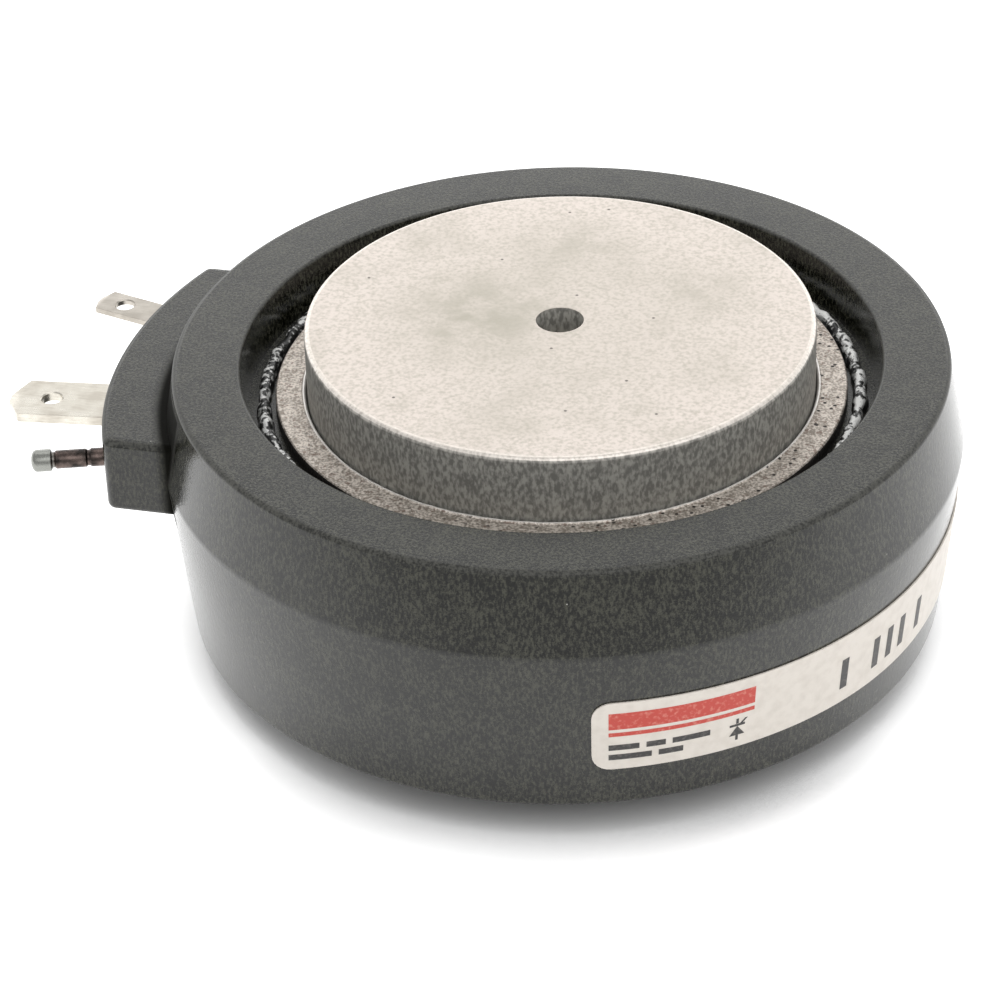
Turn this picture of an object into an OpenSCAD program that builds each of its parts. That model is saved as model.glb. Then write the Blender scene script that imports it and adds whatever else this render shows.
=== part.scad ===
// Disc thyristor: a moulded ring housing with a plated copper contact pole in
// each end, the silicon stack clamped between them and blade terminals on a boss.
// The origin is the centre of the lower contact face, +Z runs up the clamping
// axis, and the terminal boss points along -X. All sizes are in millimetres.

/* [Poles] */
// Diameter of the contact face of each pole
pole_d = 38; // [34:0.1:42]
// Height that each contact face stands proud of the housing
pole_proud = 2.8; // [1.5:0.1:5]
// Chamfer on the edge of each contact face
pole_chamfer = 0.4; // [0.2:0.05:0.8]
// Diameter of the centring hole in each contact face
centre_hole_d = 3.5; // [2.5:0.1:5]
// Depth of the straight part of the centring hole
centre_hole_depth = 2.2; // [1.6:0.1:3]
// Included angle of the centring hole's drilled point
drill_point_angle = 118; // [90:1:140]
// Width of the shoulder that the flange sits on
shoulder_w = 1.4; // [1:0.1:2.4]
// Thickness of the anode pole's shoulder
anode_shoulder_t = 1.6; // [1:0.1:2.4]
// How far the inner stem of each pole is set in from the contact face's edge
stem_inset = 2; // [1.6:0.1:3]

/* [Housing] */
// Height of the moulded ring
housing_h = 20.4; // [19:0.1:26]
// Width of the flat top and bottom faces of the ring
rim_w = 5.05; // [3.5:0.05:8]
// Height of the parting ridge below the top face
ridge_drop = 6.6; // [6:0.1:8]
// How far the parting ridge stands out from the rim
ridge_out = 1.1; // [0.6:0.05:2]
// Height of the narrow flat along the parting ridge
ridge_land = 0.3; // [0.1:0.05:0.6]
// How far the lower wall tapers in from the ridge to the foot
foot_taper = 1.35; // [0.5:0.05:2]
// Rounding of the ring's outer top and bottom edges
rim_round = 0.4; // [0.2:0.05:0.9]
// Draft of the recess wall round each pole
recess_draft = 0.45; // [0.1:0.05:0.8]
// Flat floor left between the sealing bead and the recess wall
recess_floor_w = 0.65; // [0.3:0.05:1.5]
// Clearance between a pole's shoulder and the bore
bore_gap = 0.2; // [0.1:0.05:0.4]

/* [Flanges and seals] */
// Width of the seat in the housing under each flange
flange_seat_w = 0.8; // [0.5:0.1:1.6]
// Thickness of each flange
flange_t = 1.2; // [0.8:0.1:1.8]
// Depth of each flange below the face of the housing
flange_drop = 2.4; // [1.8:0.1:2.8]
// Rounding of the flange's outer edge
flange_round = 0.25; // [0.1:0.05:0.35]
// Open groove between a flange and the sealing bead
bead_groove = 0.35; // [0.2:0.05:0.8]
// Width of the sealing bead
bead_w = 1.1; // [0.8:0.05:1.6]
// Height of the sealing bead over the recess floor
bead_h = 0.9; // [0.7:0.05:1.2]

/* [Terminal boss] */
// How far the boss stands out from the parting ridge
boss_out = 4.4; // [3:0.1:8]
// Angle that the boss spans round the housing
boss_span = 47; // [44:1:60]
// Height of the boss, shared evenly above and below the ridge
boss_h = 6.1; // [4.5:0.1:8]
// Rounding of the boss's outer edges
boss_round = 0.7; // [0.4:0.1:1.2]

/* [Terminals] */
// Length of both tabs inside the bore
tab_in = 2; // [1.5:0.1:2.4]
// Share of a tab's thickness taken off each face at its tip
tab_tip_bevel = 0.25; // [0.1:0.05:0.4]
// Width of the gate tab
gate_tab_w = 2.8; // [2:0.1:4]
// Thickness of the gate tab
gate_tab_t = 0.5; // [0.4:0.05:0.8]
// Length of the gate tab outside the boss
gate_tab_out = 7.5; // [6:0.1:12]
// Turn of the gate tab from the middle of the boss
gate_tab_turn = -15.5; // [-18:0.5:-14]
// Width left at the gate tab's tip
gate_tab_tip_w = 0.6; // [0.4:0.1:1.8]
// Length of the gate tab's tapered tip
gate_tab_lead_in = 0.5; // [0.3:0.1:1]
// Diameter of the hole in the gate tab
gate_tab_hole_d = 1.5; // [0.8:0.1:1.6]
// Distance of the gate tab's hole from its tip
gate_tab_hole_back = 2.4; // [2.2:0.1:4]
// Width of the cathode tab
cathode_tab_w = 4.8; // [4:0.1:5.4]
// Thickness of the cathode tab
cathode_tab_t = 0.8; // [0.5:0.05:1]
// Length of the cathode tab outside the boss
cathode_tab_out = 8.2; // [6:0.1:12]
// Turn of the cathode tab from the middle of the boss
cathode_tab_turn = 6; // [4:0.1:6.5]
// Width left at the cathode tab's tip
cathode_tab_tip_w = 1; // [0.6:0.1:3.6]
// Length of the cathode tab's tapered tip
cathode_tab_lead_in = 1.1; // [0.6:0.1:1.6]
// Diameter of the hole in the cathode tab
cathode_tab_hole_d = 1.6; // [1:0.1:2.4]
// Distance of the cathode tab's hole from its tip
cathode_tab_hole_back = 3.3; // [2.8:0.1:5]
// Diameter of the vent tube
tube_d = 1.4; // [1.2:0.1:2.4]
// Diameter of the vent tube's bore
tube_bore_d = 0.7; // [0.4:0.1:1]
// Length of the vent tube outside the boss
tube_out = 5.5; // [4:0.1:8]
// How far the vent tube's thickened end stands out from the tube
tube_tip_step = 0.15; // [0.05:0.05:0.4]
// Length of the thickened end
tube_tip_l = 1.5; // [1.2:0.1:2.5]
// Turn of the vent tube from the middle of the boss
tube_turn = 18; // [17:0.5:19.5]

/* [Silicon stack] */
// Height of the terminal plane over the wafer
gate_rise = 3.4; // [3.2:0.1:3.8]
// Thickness of the wafer
wafer_t = 0.6; // [0.4:0.05:0.9]
// Width of the wafer's bevelled edge
wafer_bevel_w = 1.4; // [0.8:0.1:1.6]
// Thin upright edge left under the bevel
wafer_edge_t = 0.1; // [0.05:0.01:0.2]
// Thickness of the molybdenum carrier under the wafer
anode_disc_t = 2; // [1.2:0.1:2.4]
// Thickness of the molybdenum disc over the wafer
cathode_disc_t = 1; // [0.6:0.1:1.2]
// How far the upper disc is set in from the cathode stem's edge
cathode_disc_inset = 0.5; // [0.3:0.1:1.5]
// Radial thickness of the ring that centres the wafer
centring_ring_w = 1.4; // [1:0.1:1.5]
// Height of the silicone over the wafer's edge
edge_seal_h = 0.7; // [0.4:0.1:0.9]
// Lap of the silicone over the flat of the wafer
edge_seal_lap = 0.5; // [0.2:0.1:0.5]

/* [Gate contact] */
// Diameter of the pocket in the cathode pole
pocket_d = 7; // [6.6:0.1:9]
// Copper left between the pocket and the centring hole's point
pocket_roof_t = 2; // [1:0.1:3]
// Wall of the insulating cup
cup_wall = 0.8; // [0.5:0.05:0.9]
// Roof of the insulating cup
cup_roof_t = 0.8; // [0.5:0.1:1.2]
// Diameter of the gate pin
pin_d = 1.6; // [1:0.1:2.4]
// Diameter of the gate pin's head
pin_head_d = 4.4; // [3.8:0.1:4.8]
// Height of the gate pin's head
pin_head_h = 1.6; // [1.3:0.1:1.8]
// Lift of the pin's head off its guide
pin_lift = 0.3; // [0.1:0.05:0.5]
// Wire diameter of the gate spring
spring_wire_d = 0.5; // [0.3:0.05:0.6]
// Outside diameter of the gate spring
spring_d = 4; // [3:0.1:4.4]
// Turns of the gate spring
spring_turns = 4; // [3:0.5:5]
// Diameter of the gate lead
lead_d = 0.8; // [0.5:0.05:0.9]
// Depth of the gate lead's socket in the pin's head
lead_socket = 1.2; // [0.8:0.1:1.4]
// Wall of the insulating sleeve on the gate lead
sleeve_wall = 0.35; // [0.2:0.05:0.45]
// Length of the sleeve that sticks out of the pole's slot
sleeve_out = 0.4; // [0.1:0.1:0.8]
// Height of the folded strip between cathode tab and pole
strap_h = 1; // [0.7:0.1:1.2]
// Width of the folded strip
strap_w = 3; // [2:0.1:4]
// Thickness of the folded strip
strap_t = 0.25; // [0.15:0.05:0.3]

/* [Label] */
// Height of the label
label_h = 6.2; // [4:0.1:7.5]
// Depth of the label's middle below the parting ridge
label_drop = 7.2; // [6:0.1:8.5]
// Thickness of the label
label_t = 0.12; // [0.08:0.01:0.3]
// Corner radius of the label
label_corner = 1.4; // [0.5:0.1:1.9]
// Turn of the label's first end round the axis
label_start = -73.5; // [-100:0.5:-40]
// Angle that the label spans
label_span = 112; // [60:1:150]

/* [Clearances] */
// Gap round metal that is moulded or stuck in place
bond_gap = 0.02; // [0.01:0.01:0.05]
// Gap between pieces that slip into each other
slip_gap = 0.1; // [0.05:0.01:0.15]

/* [Hidden] */
$fn = 96;

// Extra length that takes a cut clean through a face
over = 1;

// Radii, from the axis outwards
pole_r = pole_d / 2;
stem_r = pole_r - stem_inset;
shoulder_r = pole_r + shoulder_w;
bore_r = shoulder_r + bore_gap;
flange_r = bore_r + flange_seat_w;
bead_mid_r = flange_r + bead_groove + bead_w / 2;
recess_floor_r = flange_r + bead_groove + bead_w + recess_floor_w;
recess_r = recess_floor_r + recess_draft;
rim_r = recess_r + rim_w;
ridge_r = rim_r + ridge_out;
foot_r = ridge_r - foot_taper;
boss_root_r = recess_r + rim_w / 2;
boss_r = ridge_r + boss_out;
tab_inner_r = bore_r - tab_in;
gate_tab_tip_r = boss_r + gate_tab_out;
cathode_tab_tip_r = boss_r + cathode_tab_out;
ring_outer_r = bore_r - slip_gap;
ring_inner_r = ring_outer_r - centring_ring_w;
wafer_r = ring_inner_r - slip_gap;
cathode_disc_r = stem_r - cathode_disc_inset;

// Heights, from the lower contact face upwards
foot_z = pole_proud;
top_z = foot_z + housing_h;
cell_h = top_z + pole_proud;
recess_depth = flange_drop + flange_t;
low_seat_z = foot_z + recess_depth;
high_seat_z = top_z - recess_depth;
ridge_z = top_z - ridge_drop;
anode_shoulder_z = low_seat_z + anode_shoulder_t;
cathode_shoulder_z = ridge_z + cathode_tab_t / 2 + strap_h;
wafer_top_z = ridge_z - gate_rise;
wafer_z = wafer_top_z - wafer_t;
anode_disc_z = wafer_z - anode_disc_t;
cathode_disc_top_z = wafer_top_z + cathode_disc_t;
label_z = ridge_z - label_drop;

// Gate contact, inside the cathode pole
drill_point_h = centre_hole_d / 2 / tan(drill_point_angle / 2);
pocket_top_z = cell_h - centre_hole_depth - drill_point_h - pocket_roof_t;
lead_z = ridge_z - gate_tab_t / 2 - lead_d / 2 - bond_gap;
sleeve_r = lead_d / 2 + slip_gap / 2 + sleeve_wall;
pin_head_z = lead_z - pin_head_h / 2;
bush_top_z = pin_head_z - pin_lift;
cup_r = pocket_d / 2 - slip_gap;
spring_low_z = pin_head_z + pin_head_h;
spring_high_z = pocket_top_z - cup_roof_t;

// Turns of the coil are drawn as rings of points along a helix
spring_steps_per_turn = 20;
spring_sides = 8;

// Radius of the lower wall at a height, from the foot's round up to the ridge
wall_low_z = foot_z + rim_round;
wall_high_z = ridge_z - ridge_land / 2;
function wall_r(z) = foot_r + foot_taper * (z - wall_low_z) / (wall_high_z - wall_low_z);

// Points of a quarter round about a centre, from one angle to another
function arc(cx, cy, r, from, to, steps = 5) =
    [for (k = [0 : steps]) let (a = from + (to - from) * k / steps) [cx + r * cos(a), cy + r * sin(a)]];

// Stands a piece on a terminal's line: local X points out of the boss
module at_turn(turn) {
    rotate([0, 0, 180 + turn]) children();
}

// A part of a ring between two radii, two heights and two angles
module ring_sector(inner_r, outer_r, low, high, from, to) {
    rotate([0, 0, from])
        rotate_extrude(angle = to - from)
            translate([inner_r, low]) square([outer_r - inner_r, high - low]);
}

// A plain ring between two radii and two heights
module ring(inner_r, outer_r, low, high) {
    translate([0, 0, low]) difference() {
        cylinder(r = outer_r, h = high - low);
        translate([0, 0, -over]) cylinder(r = inner_r, h = high - low + 2 * over);
    }
}

// Flips what is built on the upper end over to the lower end
module other_end() {
    translate([0, 0, cell_h]) mirror([0, 0, 1]) children();
}

// Section of the moulded ring, revolved about the axis
module housing_ring() {
    rotate_extrude() polygon(concat(
        [[bore_r, low_seat_z], [recess_floor_r, low_seat_z], [recess_r, foot_z]],
        arc(foot_r - rim_round, foot_z + rim_round, rim_round, -90, 0),
        [[ridge_r, ridge_z - ridge_land / 2], [ridge_r, ridge_z + ridge_land / 2]],
        arc(rim_r - rim_round, top_z - rim_round, rim_round, 0, 90),
        [[recess_r, top_z], [recess_floor_r, high_seat_z], [bore_r, high_seat_z]]
    ));
}

// Rounded section of the boss, revolved all the way round
module boss_section() {
    low = ridge_z - boss_h / 2;
    high = ridge_z + boss_h / 2;
    rotate_extrude() polygon(concat(
        [[boss_root_r, low]],
        arc(boss_r - boss_round, low + boss_round, boss_round, -90, 0),
        arc(boss_r - boss_round, high - boss_round, boss_round, 0, 90),
        [[boss_root_r, high]]
    ));
}

// Plan of the boss with round outer corners, as an upright block
module boss_plan() {
    low = ridge_z - boss_h;
    high = ridge_z + boss_h;
    corner_r = boss_r - boss_round;
    corner_turn = asin(boss_round / corner_r);
    half = boss_span / 2;
    ring_sector(boss_root_r, corner_r * cos(corner_turn), low, high, 180 - half, 180 + half);
    ring_sector(boss_root_r, boss_r + over, low, high, 180 - half + corner_turn, 180 + half - corner_turn);
    for (side = [-1, 1])
        at_turn(side * (half - corner_turn))
            translate([corner_r, 0, low]) cylinder(r = boss_round, h = high - low);
}

// Moulded ring with its boss, slotted for the tabs and bored for the tube
module housing() {
    color("#454743") difference() {
        union() {
            housing_ring();
            intersection() {
                boss_section();
                boss_plan();
            }
        }
        tab_slot(gate_tab_turn, gate_tab_w, gate_tab_t);
        tab_slot(cathode_tab_turn, cathode_tab_w, cathode_tab_t);
        at_turn(tube_turn) translate([bore_r - over, 0, ridge_z])
            rotate([0, 90, 0]) cylinder(d = tube_d + 2 * bond_gap, h = boss_r - bore_r + 2 * over);
    }
}

// Passage of a tab through the wall and the boss
module tab_slot(turn, width, thickness) {
    slot_w = width + 2 * bond_gap;
    slot_t = thickness + 2 * bond_gap;
    at_turn(turn) translate([bore_r - over, -slot_w / 2, ridge_z - slot_t / 2])
        cube([boss_r - bore_r + 2 * over, slot_w, slot_t]);
}

// Turned pole from its contact face down to its stem, with the centring hole
module pole(shoulder_z, inner_z) {
    difference() {
        rotate_extrude() polygon([
            [0, inner_z], [stem_r, inner_z], [stem_r, shoulder_z], [shoulder_r, shoulder_z],
            [shoulder_r, high_seat_z], [pole_r, high_seat_z], [pole_r, cell_h - pole_chamfer],
            [pole_r - pole_chamfer, cell_h], [0, cell_h]
        ]);
        translate([0, 0, cell_h - centre_hole_depth])
            cylinder(d = centre_hole_d, h = centre_hole_depth + over);
        translate([0, 0, cell_h - centre_hole_depth - drill_point_h])
            cylinder(d1 = 0, d2 = centre_hole_d, h = drill_point_h);
    }
}

// Upper pole, pocketed for the gate contact and slotted for its lead
module cathode_pole() {
    slot_w = 2 * (sleeve_r + slip_gap);
    slot_top_z = lead_z + sleeve_r + slip_gap;
    color("#d9d4cb") difference() {
        pole(cathode_shoulder_z, cathode_disc_top_z);
        translate([0, 0, cathode_disc_top_z - over])
            cylinder(d = pocket_d, h = pocket_top_z - cathode_disc_top_z + over);
        at_turn(gate_tab_turn) translate([0, -slot_w / 2, cathode_disc_top_z - over])
            cube([stem_r + over, slot_w, slot_top_z - cathode_disc_top_z + over]);
    }
}

// Lower pole, solid under the wafer's carrier
module anode_pole() {
    color("#d9d4cb") other_end() pole(cell_h - anode_shoulder_z, cell_h - anode_disc_z);
}

// Ring that holds a pole's shoulder down and closes the bore
module flange() {
    low = high_seat_z;
    high = high_seat_z + flange_t;
    rotate_extrude() polygon(concat(
        [[pole_r + bond_gap, low], [flange_r, low]],
        arc(flange_r - flange_round, high - flange_round, flange_round, 0, 90),
        [[pole_r + bond_gap, high]]
    ));
}

module cathode_flange() {
    color("#c9bcab") flange();
}

module anode_flange() {
    color("#c9bcab") other_end() flange();
}

// Round-topped bead of sealing compound on the recess floor
module seal_bead() {
    half_w = bead_w / 2;
    rotate_extrude() intersection() {
        translate([bead_mid_r, high_seat_z + bead_h - half_w]) circle(r = half_w);
        translate([bead_mid_r - half_w, high_seat_z]) square([bead_w, bead_h]);
    }
}

module cathode_seal() {
    color("#b9bab8") seal_bead();
}

module anode_seal() {
    color("#b9bab8") other_end() seal_bead();
}

// Silicon disc with a bevelled upper edge
module silicon_wafer() {
    color("#5a5f6b") rotate_extrude() polygon([
        [0, wafer_z], [wafer_r, wafer_z], [wafer_r, wafer_z + wafer_edge_t],
        [wafer_r - wafer_bevel_w, wafer_top_z], [0, wafer_top_z]
    ]);
}

// Molybdenum carrier that the wafer is bonded to
module anode_disc() {
    color("#9a9a98") translate([0, 0, anode_disc_z]) cylinder(r = wafer_r, h = anode_disc_t);
}

// Molybdenum disc between wafer and cathode pole
module cathode_disc() {
    color("#9a9a98") ring(pocket_d / 2, cathode_disc_r, wafer_top_z, cathode_disc_top_z);
}

// Silicone bead on the wafer's bevel
module edge_seal() {
    lap_r = wafer_r - wafer_bevel_w - edge_seal_lap;
    color("#e6e4dc") rotate_extrude() polygon([
        [lap_r, wafer_top_z], [wafer_r - wafer_bevel_w, wafer_top_z],
        [wafer_r, wafer_z + wafer_edge_t], [wafer_r, wafer_top_z + edge_seal_h / 2],
        [wafer_r - wafer_bevel_w / 2, wafer_top_z + edge_seal_h], [lap_r, wafer_top_z + edge_seal_h / 2]
    ]);
}

// Ring on the anode pole's shoulder that centres carrier and wafer
module centring_ring() {
    color("#d8d2c4") ring(ring_inner_r, ring_outer_r, anode_shoulder_z, wafer_top_z);
}

// Pin with a round head, cross-drilled for the lead
module gate_pin() {
    color("#d6b25e") difference() {
        union() {
            translate([0, 0, wafer_top_z]) cylinder(d = pin_d, h = pin_head_z - wafer_top_z);
            translate([0, 0, pin_head_z]) cylinder(d = pin_head_d, h = pin_head_h);
        }
        at_turn(gate_tab_turn) translate([pin_head_d / 2 - lead_socket, 0, lead_z])
            rotate([0, 90, 0]) cylinder(d = lead_d + slip_gap, h = lead_socket + over);
    }
}

// Ring of points round the spring's wire at a step along the helix
function spring_ring(k, steps) = let (
        wire_r = spring_wire_d / 2,
        mid_r = spring_d / 2 - wire_r,
        turn = 360 * spring_turns * k / steps,
        rise = spring_high_z - spring_low_z - spring_wire_d,
        z = spring_low_z + wire_r + rise * k / steps
    )
    [for (s = [0 : spring_sides - 1]) let (b = 360 * s / spring_sides, r = mid_r + wire_r * cos(b))
        [r * cos(turn), r * sin(turn), z + wire_r * sin(b)]];

// Coil spring between the pin's head and the cup's roof
module gate_spring() {
    steps = ceil(spring_turns * spring_steps_per_turn);
    n = spring_sides;
    points = [for (k = [0 : steps]) each spring_ring(k, steps)];
    sides = [for (k = [0 : steps - 1], s = [0 : n - 1])
        [k * n + s, k * n + (s + 1) % n, (k + 1) * n + (s + 1) % n, (k + 1) * n + s]];
    start_cap = [[for (s = [0 : n - 1]) n - 1 - s]];
    end_cap = [[for (s = [0 : n - 1]) steps * n + s]];
    color("#a8a9a6") polyhedron(points, concat(sides, start_cap, end_cap));
}

// Insulating cup over the spring, notched for the lead
module gate_cup() {
    notch_w = lead_d + 2 * slip_gap;
    color("#efece2") difference() {
        translate([0, 0, bush_top_z]) cylinder(r = cup_r, h = pocket_top_z - bush_top_z);
        translate([0, 0, bush_top_z - over])
            cylinder(r = cup_r - cup_wall, h = spring_high_z - bush_top_z + over);
        at_turn(gate_tab_turn) translate([0, -notch_w / 2, bush_top_z - over])
            cube([cup_r + over, notch_w, lead_z + notch_w / 2 - bush_top_z + over]);
    }
}

// Insulating guide of the pin, standing on the wafer
module gate_bush() {
    color("#efece2") ring(pin_d / 2 + slip_gap, cup_r, wafer_top_z, bush_top_z);
}

// Wire from the socket in the pin's head to the underside of the gate tab
module gate_lead() {
    start_r = pin_head_d / 2 - lead_socket;
    color("#c98d5c") at_turn(gate_tab_turn) translate([start_r, 0, lead_z])
        rotate([0, 90, 0]) cylinder(d = lead_d, h = bore_r - slip_gap - start_r);
}

// Insulating sleeve on the wire where it lies in the pole's slot
module gate_sleeve() {
    start_r = pocket_d / 2;
    length = stem_r + sleeve_out - start_r;
    color("#c9d3d6") at_turn(gate_tab_turn) translate([start_r, 0, lead_z])
        rotate([0, 90, 0]) difference() {
            cylinder(r = sleeve_r, h = length);
            translate([0, 0, -over]) cylinder(d = lead_d + slip_gap, h = length + 2 * over);
        }
}

// Side of a blade in plan or edge view: full size up to the taper, then down to the tip
module taper(half, tip_half, start_r, taper_r, tip_r) {
    polygon([
        [start_r, -half], [taper_r, -half], [tip_r, -tip_half],
        [tip_r, tip_half], [taper_r, half], [start_r, half]
    ]);
}

// Blade along local X, tapered at its tip in both views
module blade(width, thickness, tip_w, lead_in, tip_r) {
    taper_r = tip_r - lead_in;
    tip_t = thickness * (1 - 2 * tab_tip_bevel);
    intersection() {
        translate([0, 0, -over]) linear_extrude(2 * over)
            taper(width / 2, tip_w / 2, tab_inner_r, taper_r, tip_r);
        rotate([90, 0, 0]) translate([0, 0, -width]) linear_extrude(2 * width)
            taper(thickness / 2, tip_t / 2, tab_inner_r, taper_r, tip_r);
    }
}

// Round hole through a blade
module blade_hole(hole_d, hole_r, thickness) {
    translate([hole_r, 0, -thickness]) cylinder(d = hole_d, h = 2 * thickness);
}

// Narrow blade of the gate
module gate_tab() {
    color("#e3dccb") at_turn(gate_tab_turn) translate([0, 0, ridge_z]) difference() {
        blade(gate_tab_w, gate_tab_t, gate_tab_tip_w, gate_tab_lead_in, gate_tab_tip_r);
        blade_hole(gate_tab_hole_d, gate_tab_tip_r - gate_tab_hole_back, gate_tab_t);
    }
}

// Wide blade of the auxiliary cathode
module cathode_tab() {
    color("#e3dccb") at_turn(cathode_tab_turn) translate([0, 0, ridge_z]) difference() {
        blade(cathode_tab_w, cathode_tab_t, cathode_tab_tip_w, cathode_tab_lead_in, cathode_tab_tip_r);
        blade_hole(cathode_tab_hole_d, cathode_tab_tip_r - cathode_tab_hole_back, cathode_tab_t);
    }
}

// Strip folded over between the cathode tab and the pole's shoulder
module cathode_strap() {
    length = bore_r - slip_gap - tab_inner_r;
    color("#c98d5c") at_turn(cathode_tab_turn)
        translate([tab_inner_r, strap_w / 2, ridge_z + cathode_tab_t / 2]) rotate([90, 0, 0])
            linear_extrude(strap_w) difference() {
                square([length, strap_h]);
                translate([strap_t, strap_t]) square([length, strap_h - 2 * strap_t]);
            }
}

// Round tube out of the boss with a thick, closed, rounded end
module vent_tube() {
    tip_r = tube_d / 2 + tube_tip_step;
    end_r = boss_r + tube_out;
    neck_r = end_r - tube_tip_l;
    waist_r = neck_r - tube_tip_step;
    color("#7d6251") at_turn(tube_turn) translate([0, 0, ridge_z]) rotate([0, 90, 0]) rotate_extrude()
        polygon(concat(
            [[tube_bore_d / 2, bore_r], [tube_d / 2, bore_r], [tube_d / 2, waist_r], [tip_r, neck_r]],
            [for (p = arc(0, 0, tip_r, 0, 90)) [p[0], end_r - tip_r / 2 + p[1] / 2]],
            [[0, neck_r], [tube_bore_d / 2, waist_r]]
        ));
}

// Cutter that rounds one corner of the label; around and up say which corner
module corner_cut(turn, around, up) {
    rotate([0, 0, turn]) translate([bore_r, 0, label_z + up * label_h / 2]) rotate([90, 0, 90])
        linear_extrude(boss_r - bore_r) difference() {
            translate([around > 0 ? -over : -label_corner, up > 0 ? -label_corner : -over])
                square(label_corner + over);
            translate([around * label_corner, -up * label_corner]) circle(r = label_corner);
        }
}

// Thin label with round corners that follows the lower wall
module label() {
    low = label_z - label_h / 2;
    high = label_z + label_h / 2;
    color("#ece6dc") difference() {
        rotate([0, 0, label_start]) rotate_extrude(angle = label_span) polygon([
            [wall_r(low) + bond_gap, low], [wall_r(low) + bond_gap + label_t, low],
            [wall_r(high) + bond_gap + label_t, high], [wall_r(high) + bond_gap, high]
        ]);
        for (up = [-1, 1]) {
            corner_cut(label_start, 1, up);
            corner_cut(label_start + label_span, -1, up);
        }
    }
}

housing();
cathode_pole();
anode_pole();
cathode_flange();
anode_flange();
cathode_seal();
anode_seal();
silicon_wafer();
anode_disc();
cathode_disc();
edge_seal();
centring_ring();
gate_pin();
gate_spring();
gate_cup();
gate_bush();
gate_lead();
gate_sleeve();
gate_tab();
cathode_tab();
cathode_strap();
vent_tube();
label();
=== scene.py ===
"""Dresses a disc thyristor: a moulded ring with plated copper poles, flanges, sealing beads,
two blade terminals, a vent tube and a wrap label, on a white studio floor.

Lengths are metres in the part's own frame: the origin is the centre of the lower contact face,
+Z points up the clamping axis and the terminals leave the housing towards -X.
"""

import logging
import math
from dataclasses import dataclass
from enum import Enum
from typing import ClassVar, Iterable, Optional, Union

import bmesh
import bpy
from mathutils import Matrix, Vector, noise


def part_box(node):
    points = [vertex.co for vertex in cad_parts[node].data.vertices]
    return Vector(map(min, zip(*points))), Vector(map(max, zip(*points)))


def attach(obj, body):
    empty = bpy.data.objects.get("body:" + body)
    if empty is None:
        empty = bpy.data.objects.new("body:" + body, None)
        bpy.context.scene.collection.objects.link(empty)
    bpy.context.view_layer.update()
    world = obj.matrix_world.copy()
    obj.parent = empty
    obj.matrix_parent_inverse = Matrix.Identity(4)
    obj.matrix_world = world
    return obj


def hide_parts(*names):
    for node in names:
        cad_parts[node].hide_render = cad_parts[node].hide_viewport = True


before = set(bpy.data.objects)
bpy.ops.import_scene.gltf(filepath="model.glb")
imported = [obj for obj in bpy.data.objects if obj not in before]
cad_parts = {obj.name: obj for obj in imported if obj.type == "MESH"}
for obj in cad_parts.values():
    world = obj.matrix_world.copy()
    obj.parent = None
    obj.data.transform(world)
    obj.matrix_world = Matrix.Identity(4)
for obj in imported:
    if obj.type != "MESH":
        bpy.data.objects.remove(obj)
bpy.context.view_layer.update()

MM = 0.001
FULL_TURN = 2.0 * math.pi
ORIGIN = Vector((0.0, 0.0, 0.0))
UP = Vector((0.0, 0.0, 1.0))
RIGHT = Vector((1.0, 0.0, 0.0))
BACK = Vector((0.0, 1.0, 0.0))
NEAR = 2e-6
SHARP_CORNER = math.radians(45)
TUBE_TURN = 18.0
TUBE_RADIUS = 0.70 * MM
LOG = logging.getLogger("disc_thyristor")

Colour = tuple[float, float, float]
Range = tuple[float, float]
NOISE_RANGE: Range = (0.3, 0.7)
Section = list[tuple[float, float]]
Socket = bpy.types.NodeSocket
Value = Union[float, Socket]


class End(Enum):
    """The two ends of the part along its axis."""

    CATHODE = "cathode"
    ANODE = "anode"


class Join(Enum):
    """How one closed mesh is combined with another."""

    UNION = "UNION"
    DIFFERENCE = "DIFFERENCE"


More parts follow.
